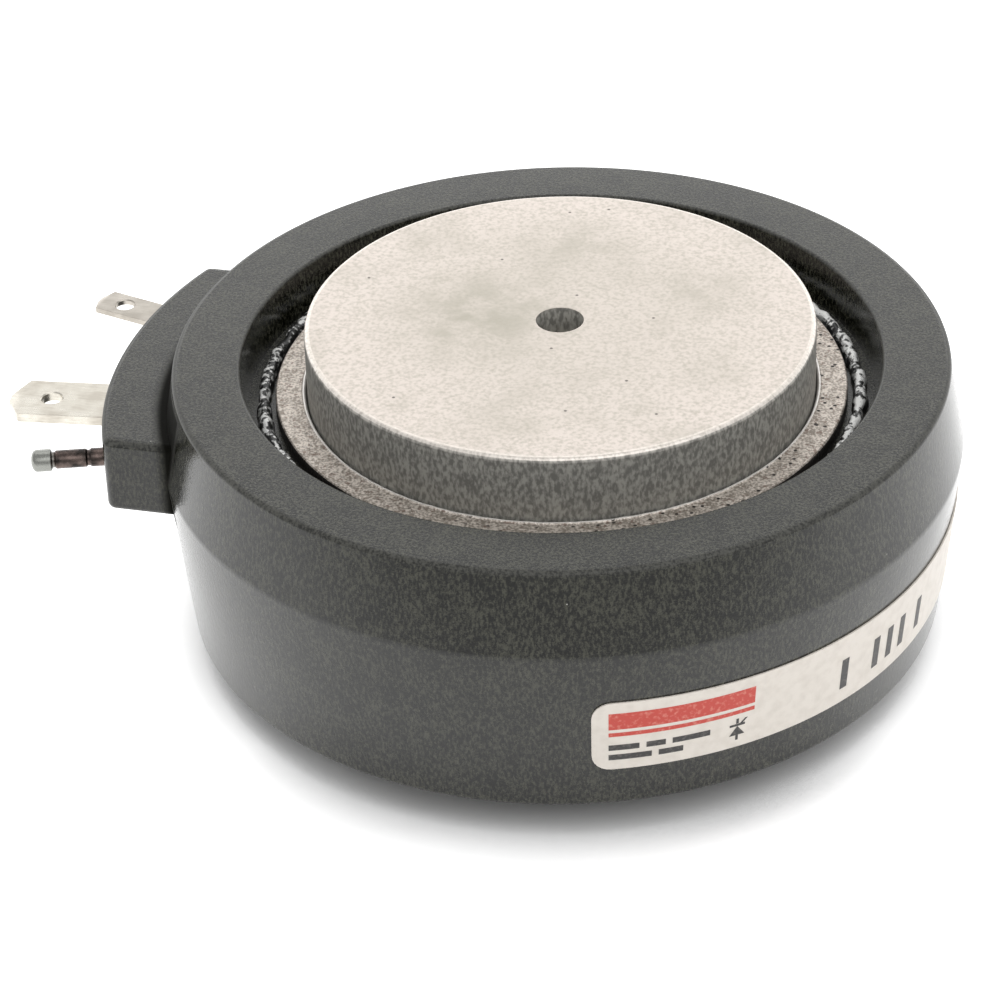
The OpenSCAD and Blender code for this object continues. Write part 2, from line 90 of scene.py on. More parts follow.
@dataclass(frozen=True)
class Layout:
    """Radii and levels that several pieces share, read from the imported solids."""

    lower_face: float
    upper_face: float
    foot: float
    rim_top: float
    high_seat: float
    flange_top: float
    cathode_shoulder: float
    cathode_inner: float
    anode_inner: float
    ridge_radius: float
    boss_radius: float
    shoulder_radius: float
    flange_radius: float
    bead_radius: float
    terminal_level: float
    label_low: float
    label_high: float
    pole_radius: float = 19.0 * MM
    stem_radius: float = 17.0 * MM
    bore_radius: float = 20.6 * MM
    recess_floor_radius: float = 23.5 * MM
    recess_radius: float = 23.95 * MM
    rim_radius: float = 29.0 * MM
    foot_radius: float = 28.75 * MM
    rim_round: float = 0.4 * MM
    ridge_land: float = 0.3 * MM
    hole_radius: float = 1.75 * MM
    bond_gap: float = 0.02 * MM

    @classmethod
    def from_frame(cls) -> "Layout":
        """Read the shared sizes from the node boxes.

        Returns:
            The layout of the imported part.
        """
        housing_low, housing_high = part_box("housing")
        cathode_low, cathode_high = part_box("cathode_pole")
        anode_low, anode_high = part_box("anode_pole")
        flange_low, flange_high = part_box("cathode_flange")
        _, bead_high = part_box("cathode_seal")
        blade_low, blade_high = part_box("cathode_tab")
        label_low, label_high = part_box("label")
        strap_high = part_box("cathode_strap")[1]
        return cls(
            lower_face=anode_low[2], upper_face=cathode_high[2],
            foot=housing_low[2], rim_top=housing_high[2],
            high_seat=flange_low[2], flange_top=flange_high[2],
            cathode_shoulder=strap_high[2], cathode_inner=cathode_low[2],
            anode_inner=anode_high[2],
            ridge_radius=housing_high[0], boss_radius=-housing_low[0],
            shoulder_radius=cathode_high[0], flange_radius=flange_high[0],
            bead_radius=bead_high[0],
            terminal_level=0.5 * (blade_low[2] + blade_high[2]),
            label_low=label_low[2], label_high=label_high[2],
        )

    def mirrored(self, height: float) -> float:
        """Height of the matching point at the other end of the part."""
        return self.lower_face + self.upper_face - height

    def wall_radius(self, height: float) -> float:
        """Radius of the outer wall at a height, carried on straight past its rounded edges.

        Args:
            height: Level on the lower or the upper wall.

        Returns:
            The wall's radius there.
        """
        edge_low, edge_radius = self.foot + self.rim_round, self.foot_radius
        ridge = self.terminal_level - self.ridge_land / 2
        if height > self.terminal_level:
            edge_low, edge_radius = self.rim_top - self.rim_round, self.rim_radius
            ridge = self.terminal_level + self.ridge_land / 2
        share = (height - edge_low) / (ridge - edge_low)
        return edge_radius + (self.ridge_radius - edge_radius) * share


class Graph:
    """A node tree, with short calls for the nodes that the finishes and the sky share."""

    def __init__(self, tree: bpy.types.NodeTree, shader: str, coordinates: str = "Object") -> None:
        """Work on a tree.

        Args:
            tree: The tree of a material or a world.
            shader: Name of the node that takes the result.
            coordinates: Name of the texture coordinates that patterns read.
        """
        self.tree = tree
        self.shader = tree.nodes[shader]
        self.place = self.node("ShaderNodeTexCoord").outputs[coordinates]

    def node(self, kind: str) -> bpy.types.Node:
        """Add a node of a kind to the tree."""
        return self.tree.nodes.new(kind)

    def feed(self, socket: Socket, value: Union[Value, Colour]) -> None:
        """Link a socket to another, or set its own value.

        Args:
            socket: The input that takes the value.
            value: An output socket, a number or a colour.
        """
        if isinstance(value, bpy.types.NodeSocket):
            self.tree.links.new(value, socket)
        elif isinstance(value, tuple) and socket.type == "RGBA":
            socket.default_value = (*value, 1.0)
        else:
            socket.default_value = value

    def along(self, direction: Vector) -> Socket:
        """Distance of the place along a direction."""
        node = self.node("ShaderNodeVectorMath")
        node.operation = "DOT_PRODUCT"
        self.feed(node.inputs[0], self.place)
        node.inputs[1].default_value = direction
        return node.outputs["Value"]

    def spread(self, centre: tuple[float, float] = (0.0, 0.0)) -> Socket:
        """Distance of the place from an upright line, the part's axis where none is given."""
        moved = self.node("ShaderNodeVectorMath")
        moved.operation = "SUBTRACT"
        moved.inputs[1].default_value = (*centre, 0.0)
        self.feed(moved.inputs[0], self.place)
        flat = self.node("ShaderNodeVectorMath")
        flat.operation = "MULTIPLY"
        flat.inputs[1].default_value = (1.0, 1.0, 0.0)
        self.feed(flat.inputs[0], moved.outputs[0])
        length = self.node("ShaderNodeVectorMath")
        length.operation = "LENGTH"
        self.feed(length.inputs[0], flat.outputs[0])
        return length.outputs["Value"]

    def stretched(self, stretch: Colour, turn: float = 0.0) -> Socket:
        """Object coordinates drawn out along an axis, so that a pattern runs along it.

        Args:
            stretch: Scale of each axis; a small one makes long features.
            turn: Turn about the part's axis, in radians.

        Returns:
            The mapped coordinates.
        """
        mapping = self.node("ShaderNodeMapping")
        mapping.inputs["Rotation"].default_value = (0.0, 0.0, turn)
        mapping.inputs["Scale"].default_value = stretch
        self.feed(mapping.inputs["Vector"], self.place)
        return mapping.outputs["Vector"]

    def noise(self, size: float, detail: float = 4.0, place: Optional[Socket] = None) -> Socket:
        """Cloudy noise with features of about a size.

        Args:
            size: Size of the largest features.
            detail: Number of finer octaves.
            place: Coordinates, the piece's own where none are given.

        Returns:
            The noise, about 0.3 to 0.7.
        """
        cloud = self.node("ShaderNodeTexNoise")
        self.feed(cloud.inputs["Vector"], place or self.place)
        cloud.inputs["Scale"].default_value = 1.0 / size
        cloud.inputs["Detail"].default_value = detail
        return cloud.outputs[0]

    def specks(self, spacing: float, radius: float, share: float, in_plan: bool = False) -> Socket:
        """Sparse round specks, such as dust or pits.

        Args:
            spacing: Size of the cells, each with one speck at most.
            radius: Radius of a speck.
            share: Share of the cells that have one.
            in_plan: Whether the cells are upright, so that faces along the axis meet each speck.

        Returns:
            A mask, 1 on a speck.
        """
        cells = self.node("ShaderNodeTexVoronoi")
        cells.voronoi_dimensions = "2D" if in_plan else "3D"
        self.feed(cells.inputs["Vector"], self.place)
        cells.inputs["Scale"].default_value = 1.0 / spacing
        dot = self.span(cells.outputs["Distance"], 0.7 * radius / spacing, radius / spacing, 1.0, 0.0)
        pick = self.node("ShaderNodeSeparateColor")
        self.feed(pick.inputs[0], cells.outputs["Color"])
        chosen = self.math("LESS_THAN", pick.outputs[0], share)
        return self.times(dot, chosen)

    def span(self, value: Socket, low: float, high: float, out_low: float, out_high: float) -> Socket:
        """Carry a range of values over to another, held at its ends.

        Args:
            value: The input.
            low: Input that gives out_low.
            high: Input that gives out_high.
            out_low: First output.
            out_high: Last output.

        Returns:
            The mapped value.
        """
        node = self.node("ShaderNodeMapRange")
        self.feed(node.inputs["Value"], value)
        node.inputs["From Min"].default_value = low
        node.inputs["From Max"].default_value = high
        node.inputs["To Min"].default_value = out_low
        node.inputs["To Max"].default_value = out_high
        return node.outputs["Result"]

    def math(self, operation: str, first: Value, second: Value) -> Socket:
        """Combine two values.

        Args:
            operation: Name of the sum, such as ADD or MULTIPLY.
            first: First value.
            second: Second value.

        Returns:
            The result.
        """
        node = self.node("ShaderNodeMath")
        node.operation = operation
        self.feed(node.inputs[0], first)
        self.feed(node.inputs[1], second)
        return node.outputs[0]

    def times(self, first: Value, second: Value) -> Socket:
        """Product of two values."""
        return self.math("MULTIPLY", first, second)

    def plus(self, first: Value, second: Value) -> Socket:
        """Sum of two values."""
        return self.math("ADD", first, second)

    def less(self, first: Value, second: Value) -> Socket:
        """First value less the second."""
        return self.math("SUBTRACT", first, second)

    def larger(self, first: Value, second: Value) -> Socket:
        """Larger of two values."""
        return self.math("MAXIMUM", first, second)

    def unsigned(self, value: Value) -> Socket:
        """Value without its sign."""
        return self.math("ABSOLUTE", value, 0.0)

    def weighted(self, *parts: tuple[Socket, float]) -> Socket:
        """Sum of patterns, each times its own weight.

        Args:
            parts: Patterns and weights.

        Returns:
            The sum.
        """
        total = self.times(*parts[0])
        for part in parts[1:]:
            total = self.plus(total, self.times(*part))
        return total

    def rise(self, value: Socket, limits: Range) -> Socket:
        """Mask that rises from 0 to 1 between two values."""
        return self.span(value, *limits, 0.0, 1.0)

    def fall(self, value: Socket, limits: Range) -> Socket:
        """Mask that falls from 1 to 0 between two values."""
        return self.span(value, *limits, 1.0, 0.0)

    def vary(self, pattern: Socket, limits: Range) -> Socket:
        """Carry the usual range of noise over to another range."""
        return self.span(pattern, *NOISE_RANGE, *limits)

    def blend(self, share: Socket, first: Union[Socket, Colour], second: Union[Socket, Colour]) -> Socket:
        """Mix two colours by a mask.

        Args:
            share: 0 gives the first colour and 1 the second.
            first: First colour.
            second: Second colour.

        Returns:
            The mixed colour.
        """
        node = self.node("ShaderNodeMix")
        node.data_type = "RGBA"
        self.feed(node.inputs[0], share)
        self.feed(node.inputs[6], first)
        self.feed(node.inputs[7], second)
        return node.outputs[2]

    def facing_up(self, low: float = 0.3, high: float = 0.8) -> Socket:
        """Mask of the faces that look along the part's axis, either way.

        Args:
            low: Share of the axis in a normal that gives 0, as on upright walls.
            high: Share of the axis that gives 1.

        Returns:
            The mask.
        """
        normal = self.node("ShaderNodeSeparateXYZ")
        geometry = self.node("ShaderNodeNewGeometry")
        self.feed(normal.inputs[0], geometry.outputs["True Normal"])
        return self.rise(self.unsigned(normal.outputs["Z"]), (low, high))

    def rounding(self, walls: Range = (0.2, 0.42), flats: Range = (0.93, 0.99)) -> Socket:
        """Mask of rounded edges, between the upright walls and the faces along the axis.

        Args:
            walls: Share of the axis in a normal over which the mask leaves the walls.
            flats: Share of the axis over which it ends at the faces.

        Returns:
            The mask, 1 on an edge.
        """
        return self.less(self.facing_up(*walls), self.facing_up(*flats))

    def bump(self, height: Socket, depth: float, under: Optional[Socket] = None) -> Socket:
        """Raise the surface by a pattern.

        Args:
            height: The pattern.
            depth: Height of the pattern from 0 to 1.
            under: A coarser bump that this one lies on.

        Returns:
            The bent normal.
        """
        node = self.node("ShaderNodeBump")
        node.inputs["Strength"].default_value = 1.0
        node.inputs["Distance"].default_value = depth
        self.feed(node.inputs["Height"], height)
        if under is not None:
            self.feed(node.inputs["Normal"], under)
        return node.outputs[0]

    def shade(self, **inputs: Union[Value, Colour]) -> None:
        """Give the shader its inputs, named with underscores for spaces."""
        for name, value in inputs.items():
            self.feed(self.shader.inputs[name.replace("_", " ")], value)


@dataclass(frozen=True)
class Finish:
    """A surface finish, painted once into a material of its own name."""

    name: str

    def paint(self, graph: Graph) -> None:
        """Lay the finish's nodes into a tree."""
        raise NotImplementedError

    def material(self) -> bpy.types.Material:
        """The finish's material, painted on its first use."""
        ready = bpy.data.materials.get(self.name)
        if ready is None:
            ready = bpy.data.materials.new(self.name)
            ready.use_nodes = True
            self.paint(Graph(ready.node_tree, "Principled BSDF"))
        return ready


@dataclass(frozen=True)
class MouldedPlastic(Finish):
    """Dark glossy moulding compound, mottled and streaked, with a fine grain, a little dust and painted
    shade in the corner at the boss.
    """

    deep: Colour = (0.002, 0.0022, 0.0008)
    worn: Colour = (0.058, 0.058, 0.042)
    rubbed: Colour = (0.062, 0.062, 0.054)
    # Painted shade: near black for the corner between the ring's wall and the boss.
    painted_corner_shade: Colour = (0.010, 0.010, 0.008)
    dust: Colour = (0.42, 0.41, 0.38)
    cloud_size: float = 2.2 * MM
    cloud_share: float = 0.15
    streak_size: float = 0.20 * MM
    streak_stretch: Colour = (1.0, 1.0, 0.45)
    streak_share: float = 0.55
    streak_depth: float = 0.012 * MM
    grain_size: float = 0.11 * MM
    grain_share: float = 0.3
    grain_depth: float = 0.009 * MM
    mottle: Range = (0.455, 0.605)
    scuffed: Range = (0.42, 0.58)
    gloss_tone: Range = (0.40, 0.60)
    gloss: Range = (0.07, 0.17)
    dull_top: float = 0.15
    dull_edge: float = 0.30
    coarse: float = 0.8
    corner_out: Range = (30.0 * MM, 30.9 * MM)
    corner_in: Range = (26.5 * MM, 27.5 * MM)
    corner_side: Range = (13.5 * MM, 14.5 * MM)
    corner_foot: Range = (12.8 * MM, 13.6 * MM)
    corner_head: Range = (22.2 * MM, 22.7 * MM)
    corner_left: Range = (20.0 * MM, 22.0 * MM)

    def corner(self, graph: Graph) -> Socket:
        """Mask of the corner between the ring's wall and the terminal boss, where shade is painted on the
        moulding.

        Args:
            graph: The tree that takes the nodes.

        Returns:
            The mask, 1 in the corner.
        """
        reach = graph.spread()
        height = graph.along(UP)
        mask = graph.rise(graph.along(-RIGHT), self.corner_left)
        for limit in (
            graph.fall(reach, self.corner_out),
            graph.rise(reach, self.corner_in),
            graph.fall(graph.unsigned(graph.along(BACK)), self.corner_side),
            graph.rise(height, self.corner_foot),
            graph.fall(height, self.corner_head),
        ):
            mask = graph.times(mask, limit)
        return mask

    def paint(self, graph: Graph) -> None:
        """Lay clouds, upright flow streaks, grain, painted shade in the corner at the boss, and dust."""
        clouds = graph.noise(self.cloud_size, 5.0)
        streaks = graph.noise(self.streak_size, 2.0, graph.stretched(self.streak_stretch))
        grain = graph.noise(self.grain_size, 1.0)
        rounding = graph.rounding()
        # Mask of the painted shade in the corner at the boss.
        corner = self.corner(graph)
        dust = graph.specks(2.2 * MM, 0.07 * MM, 0.16)
        tone = graph.weighted(
            (clouds, self.cloud_share), (streaks, self.streak_share), (grain, self.grain_share),
        )
        body = graph.blend(graph.rise(tone, self.mottle), self.deep, self.worn)
        scuffs = graph.times(rounding, graph.span(tone, *self.scuffed, 0.1, 1.0))
        body = graph.blend(scuffs, body, self.rubbed)
        # Painted shade: the corner at the boss is painted near black.
        body = graph.blend(corner, body, self.painted_corner_shade)
        roughness = graph.span(tone, *self.gloss_tone, *self.gloss)
        roughness = graph.plus(roughness, graph.times(graph.facing_up(), self.dull_top))
        roughness = graph.plus(roughness, graph.times(rounding, self.dull_edge))
        # Dust and the painted corner shade are both made rougher.
        dust_and_painted_shade_matt = graph.times(graph.larger(dust, corner), self.coarse)
        graph.shade(
            Base_Color=graph.blend(dust, body, self.dust),
            Roughness=graph.larger(roughness, dust_and_painted_shade_matt),
            # Painted shade: the corner is also made metallic, which takes out its diffuse light and dims its
            # reflection.
            Metallic=corner,
            Normal=graph.bump(grain, self.grain_depth, graph.bump(streaks, self.streak_depth)),
        )


@dataclass(frozen=True)
class PlatedCopper(Finish):
    """Satin nickel on copper: a bright lapped face with handling marks and a darker turned wall."""

    face: Colour = (0.65, 0.588, 0.538)
    stain: Colour = (0.42, 0.392, 0.335)
    edge: Colour = (0.84, 0.79, 0.73)
    wall: Colour = (0.41, 0.40, 0.364)
    wall_deep: Colour = (0.20, 0.195, 0.178)
    wall_metal: float = 0.35
    pit: Colour = (0.10, 0.088, 0.08)
    patch_size: float = 2.2 * MM
    cloud_size: float = 6.0 * MM
    grain_size: float = 0.30 * MM
    grain_stain: float = 0.75
    streak_size: float = 0.26 * MM
    streak_stretch: Colour = (1.0, 1.0, 0.5)
    streak_depth: float = 0.008 * MM
    scratch_size: float = 0.22 * MM
    scratch_depth: float = 0.003 * MM
    gloss: Range = (0.48, 0.58)
    face_polish: float = 0.12
    outer_from: Range = (5.34 * MM, 7.12 * MM)
    worn_middle: Range = (8.0 * MM, 17.0 * MM)
    stains: tuple[tuple[float, float, float, float], ...] = (
        (-6.2 * MM, -0.6 * MM, 8.5 * MM, 0.85),
        (-1.2 * MM, 10.7 * MM, 6.0 * MM, 0.55),
        (10.2 * MM, 6.2 * MM, 5.5 * MM, 0.50),
    )

    def top(self, graph: Graph) -> Socket:
        """Colour of the faces: grain, clouds, handling stains and specks.

        Args:
            graph: The tree that takes the nodes.

        Returns:
            The colour.
        """
        patchy = graph.span(graph.noise(self.patch_size, 5.0), 0.38, 0.62, 0.25, 1.0)
        cloudy = graph.span(graph.noise(self.cloud_size, 6.0), 0.50, 0.72, 0.0, 0.4)
        for right, back, reach, share in self.stains:
            handled = graph.span(graph.spread((right, back)), 0.15 * reach, reach, share, 0.0)
            cloudy = graph.larger(cloudy, graph.times(handled, patchy))
        cloudy = graph.plus(cloudy, graph.span(graph.spread(), *self.worn_middle, 0.25, 0.0))
        colour = graph.blend(cloudy, self.face, self.stain)
        grain = graph.noise(self.grain_size, 3.0)
        colour = graph.blend(graph.span(grain, 0.42, 0.72, 0.0, self.grain_stain), colour, self.stain)
        specks = graph.specks(3.2 * MM, 0.13 * MM, 0.16, in_plan=True)
        return graph.blend(graph.times(specks, 0.85), colour, self.pit)

    def paint(self, graph: Graph) -> None:
        """Lay the face, the dull streaked wall, a rubbed outer edge and scratches."""
        up = graph.facing_up()
        streaks = graph.noise(self.streak_size, 3.0, graph.stretched(self.streak_stretch))
        side = graph.blend(graph.rise(streaks, (0.40, 0.62)), self.wall_deep, self.wall)
        rubbed = graph.rounding((0.15, 0.4), (0.95, 0.99))
        rubbed = graph.times(rubbed, graph.span(streaks, 0.35, 0.6, 0.3, 1.0))
        outer = graph.rise(graph.spread(), self.outer_from)
        body = graph.blend(up, side, self.top(graph))
        body = graph.blend(graph.times(rubbed, outer), body, self.edge)
        along = graph.stretched((1.0, 0.03, 1.0), math.radians(28))
        across = graph.stretched((0.03, 1.0, 1.0), math.radians(17))
        scratches = [graph.noise(self.scratch_size, 2.0, lay) for lay in (along, across)]
        marks = graph.bump(graph.plus(*scratches), self.scratch_depth)
        bared = graph.larger(up, rubbed)
        graph.shade(
            Base_Color=body,
            Metallic=graph.span(bared, 0.0, 1.0, self.wall_metal, 1.0),
            Roughness=graph.less(graph.vary(streaks, self.gloss), graph.times(up, self.face_polish)),
            Normal=graph.bump(streaks, self.streak_depth, marks),
        )


@dataclass(frozen=True)
class PittedMetal(Finish):
    """Dull beige flange metal, coarse, speckled brown and full of dark pits, with a painted highlight on its
    inner lip and painted shade on its upright sides.
    """

    bright: Colour = (0.73, 0.665, 0.60)
    dull: Colour = (0.31, 0.27, 0.23)
    fleck: Colour = (0.22, 0.155, 0.125)
    pit: Colour = (0.04, 0.034, 0.03)
    # Painted shade: the upright sides in the flange's grooves are painted near black.
    side: Colour = (0.022, 0.019, 0.017)
    # Painted highlight: the inner lip is painted near white.
    lip: Colour = (0.93, 0.90, 0.86)
    lip_reach: Range = (19.34 * MM, 19.40 * MM)
    patch_size: float = 0.8 * MM
    patch_share: float = 0.4
    grain_size: float = 0.20 * MM
    grain_share: float = 0.6
    fleck_size: float = 0.42 * MM
    pitted_side: Range = (-15.0 * MM, 12.0 * MM)
    pit_depth: float = 1.2
    relief: float = 0.05 * MM
    metallic: float = 0.55
    gloss: Range = (0.38, 0.58)

    def paint(self, graph: Graph) -> None:
        """Lay speckles, flecks, pits towards +X, a painted highlight on the inner lip and painted shade on
        the upright sides.
        """
        patches = graph.noise(self.patch_size, 4.0)
        grain = graph.noise(self.grain_size, 2.0)
        tone = graph.weighted((patches, self.patch_share), (grain, self.grain_share))
        flecks = graph.span(graph.noise(self.fleck_size, 2.0), 0.60, 0.68, 0.0, 0.8)
        rougher = graph.span(graph.along(RIGHT), *self.pitted_side, 0.25, 1.0)
        pits = graph.times(graph.specks(0.85 * MM, 0.15 * MM, 0.4, in_plan=True), rougher)
        body = graph.blend(graph.rise(tone, (0.42, 0.58)), self.dull, self.bright)
        body = graph.blend(pits, graph.blend(flecks, body, self.fleck), self.pit)
        # Painted highlight: near white inside the lip's reach.
        body = graph.blend(graph.fall(graph.spread(), self.lip_reach), body, self.lip)
        hollow = graph.less(grain, graph.times(pits, self.pit_depth))
        graph.shade(
            # Painted shade: upright faces take the near black side colour.
            Base_Color=graph.blend(graph.facing_up(0.25, 0.6), self.side, body),
            Metallic=self.metallic,
            Roughness=graph.vary(grain, self.gloss),
            Normal=graph.bump(hollow, self.relief),
        )


@dataclass(frozen=True)
class SealingCompound(Finish):
    """Dark clear compound, with painted highlights laid as white flecks along its crest."""

    # Painted highlight: near white flecks on the bead's upward faces.
    painted_glint: Colour = (0.82, 0.82, 0.80)
    clear: Colour = (0.012, 0.012, 0.012)
    # Painted light: the highlights grow more towards +X.
    painted_light_right: float = 1.2
    fleck_size: float = 0.42 * MM
    fleck_share: float = 0.65
    stretch_size: float = 2.6 * MM
    stretch_share: float = 0.35
    # Tone range over which the painted highlights come in.
    milky: Range = (0.475, 0.53)
    ripple_size: float = 0.30 * MM
    ripple_depth: float = 0.07 * MM
    gloss: Range = (0.25, 0.45)

    def paint(self, graph: Graph) -> None:
        """Lay painted highlights as white flecks along the crest of the bead, more of them towards +X as
        painted light.
        """
        flecks = graph.noise(self.fleck_size, 3.0)
        stretches = graph.noise(self.stretch_size, 2.0)
        ripples = graph.noise(self.ripple_size, 2.0)
        tone = graph.weighted((flecks, self.fleck_share), (stretches, self.stretch_share))
        # Painted light: the tone rises towards +X, so that more highlights are painted there.
        tone = graph.plus(tone, graph.times(graph.along(RIGHT), self.painted_light_right))
        # Painted highlight: only faces that look up take the white.
        painted_glints = graph.times(graph.rise(tone, self.milky), graph.facing_up(0.3, 0.75))
        graph.shade(
            Base_Color=graph.blend(painted_glints, self.clear, self.painted_glint),
            Roughness=graph.vary(ripples, self.gloss),
            Normal=graph.bump(ripples, self.ripple_depth),
        )


@dataclass(frozen=True)
class SatinMetal(Finish):
    """Plain metal with stains, a drawn grain and small pits."""

    bright: Colour
    dull: Colour
    gloss: Range
    cloud_size: float = 1.6 * MM
    cloud_share: float = 0.7
    line_size: float = 0.12 * MM
    line_share: float = 0.3
    line_stretch: Colour = (0.1, 1.0, 1.0)
    line_depth: float = 0.004 * MM

    def paint(self, graph: Graph) -> None:
        """Lay stains, drawn lines and pits."""
        clouds = graph.noise(self.cloud_size, 5.0)
        lines = graph.noise(self.line_size, 3.0, graph.stretched(self.line_stretch))
        pits = graph.specks(0.9 * MM, 0.05 * MM, 0.12)
        tone = graph.weighted((clouds, self.cloud_share), (lines, self.line_share))
        body = graph.blend(graph.rise(tone, (0.38, 0.62)), self.bright, self.dull)
        graph.shade(
            Base_Color=graph.blend(graph.times(pits, 0.6), body, self.dull),
            Metallic=1.0,
            Roughness=graph.span(tone, 0.35, 0.65, *self.gloss),
            Normal=graph.bump(lines, self.line_depth),
        )


@dataclass(frozen=True)
class DrawnTube(Finish):
    """Tarnished copper tube whose swaged end was dipped in solder."""

    shaft: Colour = (0.135, 0.103, 0.092)
    shadow: Colour = (0.03, 0.026, 0.024)
    tip: Colour = (0.27, 0.275, 0.255)
    tip_from: Range = (38.5 * MM, 38.8 * MM)
    tip_wander: float = 0.6 * MM
    tarnish_size: float = 0.9 * MM
    grain_size: float = 0.15 * MM
    grain_depth: float = 0.012 * MM
    gloss: Range = (0.20, 0.38)

    def paint(self, graph: Graph) -> None:
        """Lay tarnish along the shaft and solder on the end."""
        tarnish = graph.noise(self.tarnish_size, 4.0)
        grain = graph.noise(self.grain_size, 2.0)
        reach = graph.plus(graph.spread(), graph.times(tarnish, self.tip_wander))
        shaft = graph.blend(graph.rise(tarnish, (0.38, 0.62)), self.shadow, self.shaft)
        graph.shade(
            Base_Color=graph.blend(graph.rise(reach, self.tip_from), shaft, self.tip),
            Metallic=1.0,
            Roughness=graph.vary(grain, self.gloss),
            Normal=graph.bump(grain, self.grain_depth),
        )


@dataclass(frozen=True)
class LabelFilm(Finish):
    """Cream printed film with a faint fibre mottle and a satin top coat."""

    clean: Colour = (0.90, 0.84, 0.765)
    aged: Colour = (0.80, 0.74, 0.665)
    speck: Colour = (0.30, 0.27, 0.24)
    mottle_size: float = 0.9 * MM
    grain_size: float = 0.18 * MM
    grain_depth: float = 0.004 * MM
    gloss: Range = (0.38, 0.52)

    def paint(self, graph: Graph) -> None:
        """Lay a mottle, faint specks and a soft grain."""
        mottle = graph.noise(self.mottle_size, 5.0)
        grain = graph.noise(self.grain_size, 2.0)
        specks = graph.times(graph.specks(1.5 * MM, 0.05 * MM, 0.2), 0.5)
        body = graph.blend(graph.span(mottle, 0.42, 0.68, 0.0, 0.8), self.clean, self.aged)
        graph.shade(
            Base_Color=graph.blend(specks, body, self.speck),
            Roughness=graph.vary(grain, self.gloss),
            Normal=graph.bump(grain, self.grain_depth),
        )


@dataclass(frozen=True)
class Ink(Finish):
    """Screened ink with thin spots."""

    full: Colour
    thin: Colour
    mottle_size: float = 0.30 * MM
    mottle_depth: float = 0.003 * MM
    gloss: Range = (0.40, 0.55)

    def paint(self, graph: Graph) -> None:
        """Lay a screened mottle."""
        mottle = graph.noise(self.mottle_size, 3.0)
        graph.shade(
            Base_Color=graph.blend(graph.span(mottle, 0.5, 0.72, 0.0, 0.8), self.full, self.thin),
            Roughness=graph.vary(mottle, self.gloss),
            Normal=graph.bump(mottle, self.mottle_depth),
        )


@dataclass(frozen=True)
class SoftPolymer(Finish):
    """Inner insulating or sealing polymer with a milky body."""

    body: Colour
    cloud: Colour
    cloud_size: float = 1.4 * MM
    grain_size: float = 0.2 * MM
    grain_depth: float = 0.006 * MM
    gloss: Range = (0.30, 0.45)

    def paint(self, graph: Graph) -> None:
        """Lay a milky cloud and a fine grain."""
        clouds = graph.noise(self.cloud_size, 4.0)
        grain = graph.noise(self.grain_size, 2.0)
        graph.shade(
            Base_Color=graph.blend(graph.rise(clouds, (0.35, 0.65)), self.body, self.cloud),
            Roughness=graph.vary(grain, self.gloss),
            Normal=graph.bump(grain, self.grain_depth),
        )


MOULDING = MouldedPlastic("moulded_ring")
PLATED = PlatedCopper("plated_copper_pole")
FLANGE_METAL = PittedMetal("pitted_flange")
SEALANT = SealingCompound("sealing_bead_compound")
TINNED = SatinMetal("tinned_blade", (0.66, 0.63, 0.56), (0.48, 0.445, 0.385), (0.24, 0.38))
GREY_TIN = SatinMetal("grey_tinned_blade", (0.50, 0.465, 0.415), (0.37, 0.34, 0.298), (0.26, 0.40))
TUBE = DrawnTube("drawn_tube")
FILM = LabelFilm("label_film_cream")
RED_INK = Ink("red_ink", full=(0.62, 0.075, 0.055), thin=(0.78, 0.30, 0.24))
DARK_INK = Ink("dark_ink", full=(0.035, 0.033, 0.032), thin=(0.16, 0.15, 0.14))
SILICON = SatinMetal("polished_silicon", (0.20, 0.21, 0.25), (0.14, 0.15, 0.18), (0.08, 0.16))
MOLYBDENUM = SatinMetal("lapped_molybdenum", (0.46, 0.46, 0.45), (0.34, 0.34, 0.33), (0.30, 0.45))
GILDED = SatinMetal("gilded_pin", (0.83, 0.60, 0.24), (0.68, 0.46, 0.17), (0.18, 0.30))
SPRING_WIRE = SatinMetal("spring_wire", (0.52, 0.52, 0.50), (0.38, 0.38, 0.36), (0.22, 0.34))
BARE_COPPER = SatinMetal("bare_copper_wire", (0.74, 0.36, 0.20), (0.50, 0.23, 0.13), (0.24, 0.38))
EDGE_SILICONE = SoftPolymer("edge_silicone", (0.76, 0.74, 0.68), (0.66, 0.63, 0.56))
RING_POLYMER = SoftPolymer("ring_polymer", (0.68, 0.63, 0.53), (0.58, 0.53, 0.44))
CUP_POLYMER = SoftPolymer("cup_polymer", (0.84, 0.81, 0.73), (0.74, 0.71, 0.62))
SLEEVE_POLYMER = SoftPolymer("sleeve_polymer", (0.56, 0.63, 0.66), (0.47, 0.54, 0.58))
INNER_FINISHES: dict[str, Finish] = {
    "silicon_wafer": SILICON,
    "anode_disc": MOLYBDENUM,
    "cathode_disc": MOLYBDENUM,
    "edge_seal": EDGE_SILICONE,
    "centring_ring": RING_POLYMER,
    "gate_pin": GILDED,
    "gate_spring": SPRING_WIRE,
    "gate_cup": CUP_POLYMER,
    "gate_bush": CUP_POLYMER,
    "gate_lead": BARE_COPPER,
    "gate_sleeve": SLEEVE_POLYMER,
    "cathode_strap": BARE_COPPER,
}


def face_out(mesh: bmesh.types.BMesh) -> None:
    """Turn all faces of a closed mesh outwards."""
    mesh.normal_update()
    bmesh.ops.recalc_face_normals(mesh, faces=mesh.faces)


def seal(mesh: bmesh.types.BMesh) -> None:
    """Close seams and poles and turn all faces outwards."""
    bmesh.ops.remove_doubles(mesh, verts=mesh.verts, dist=NEAR / 2)
    face_out(mesh)


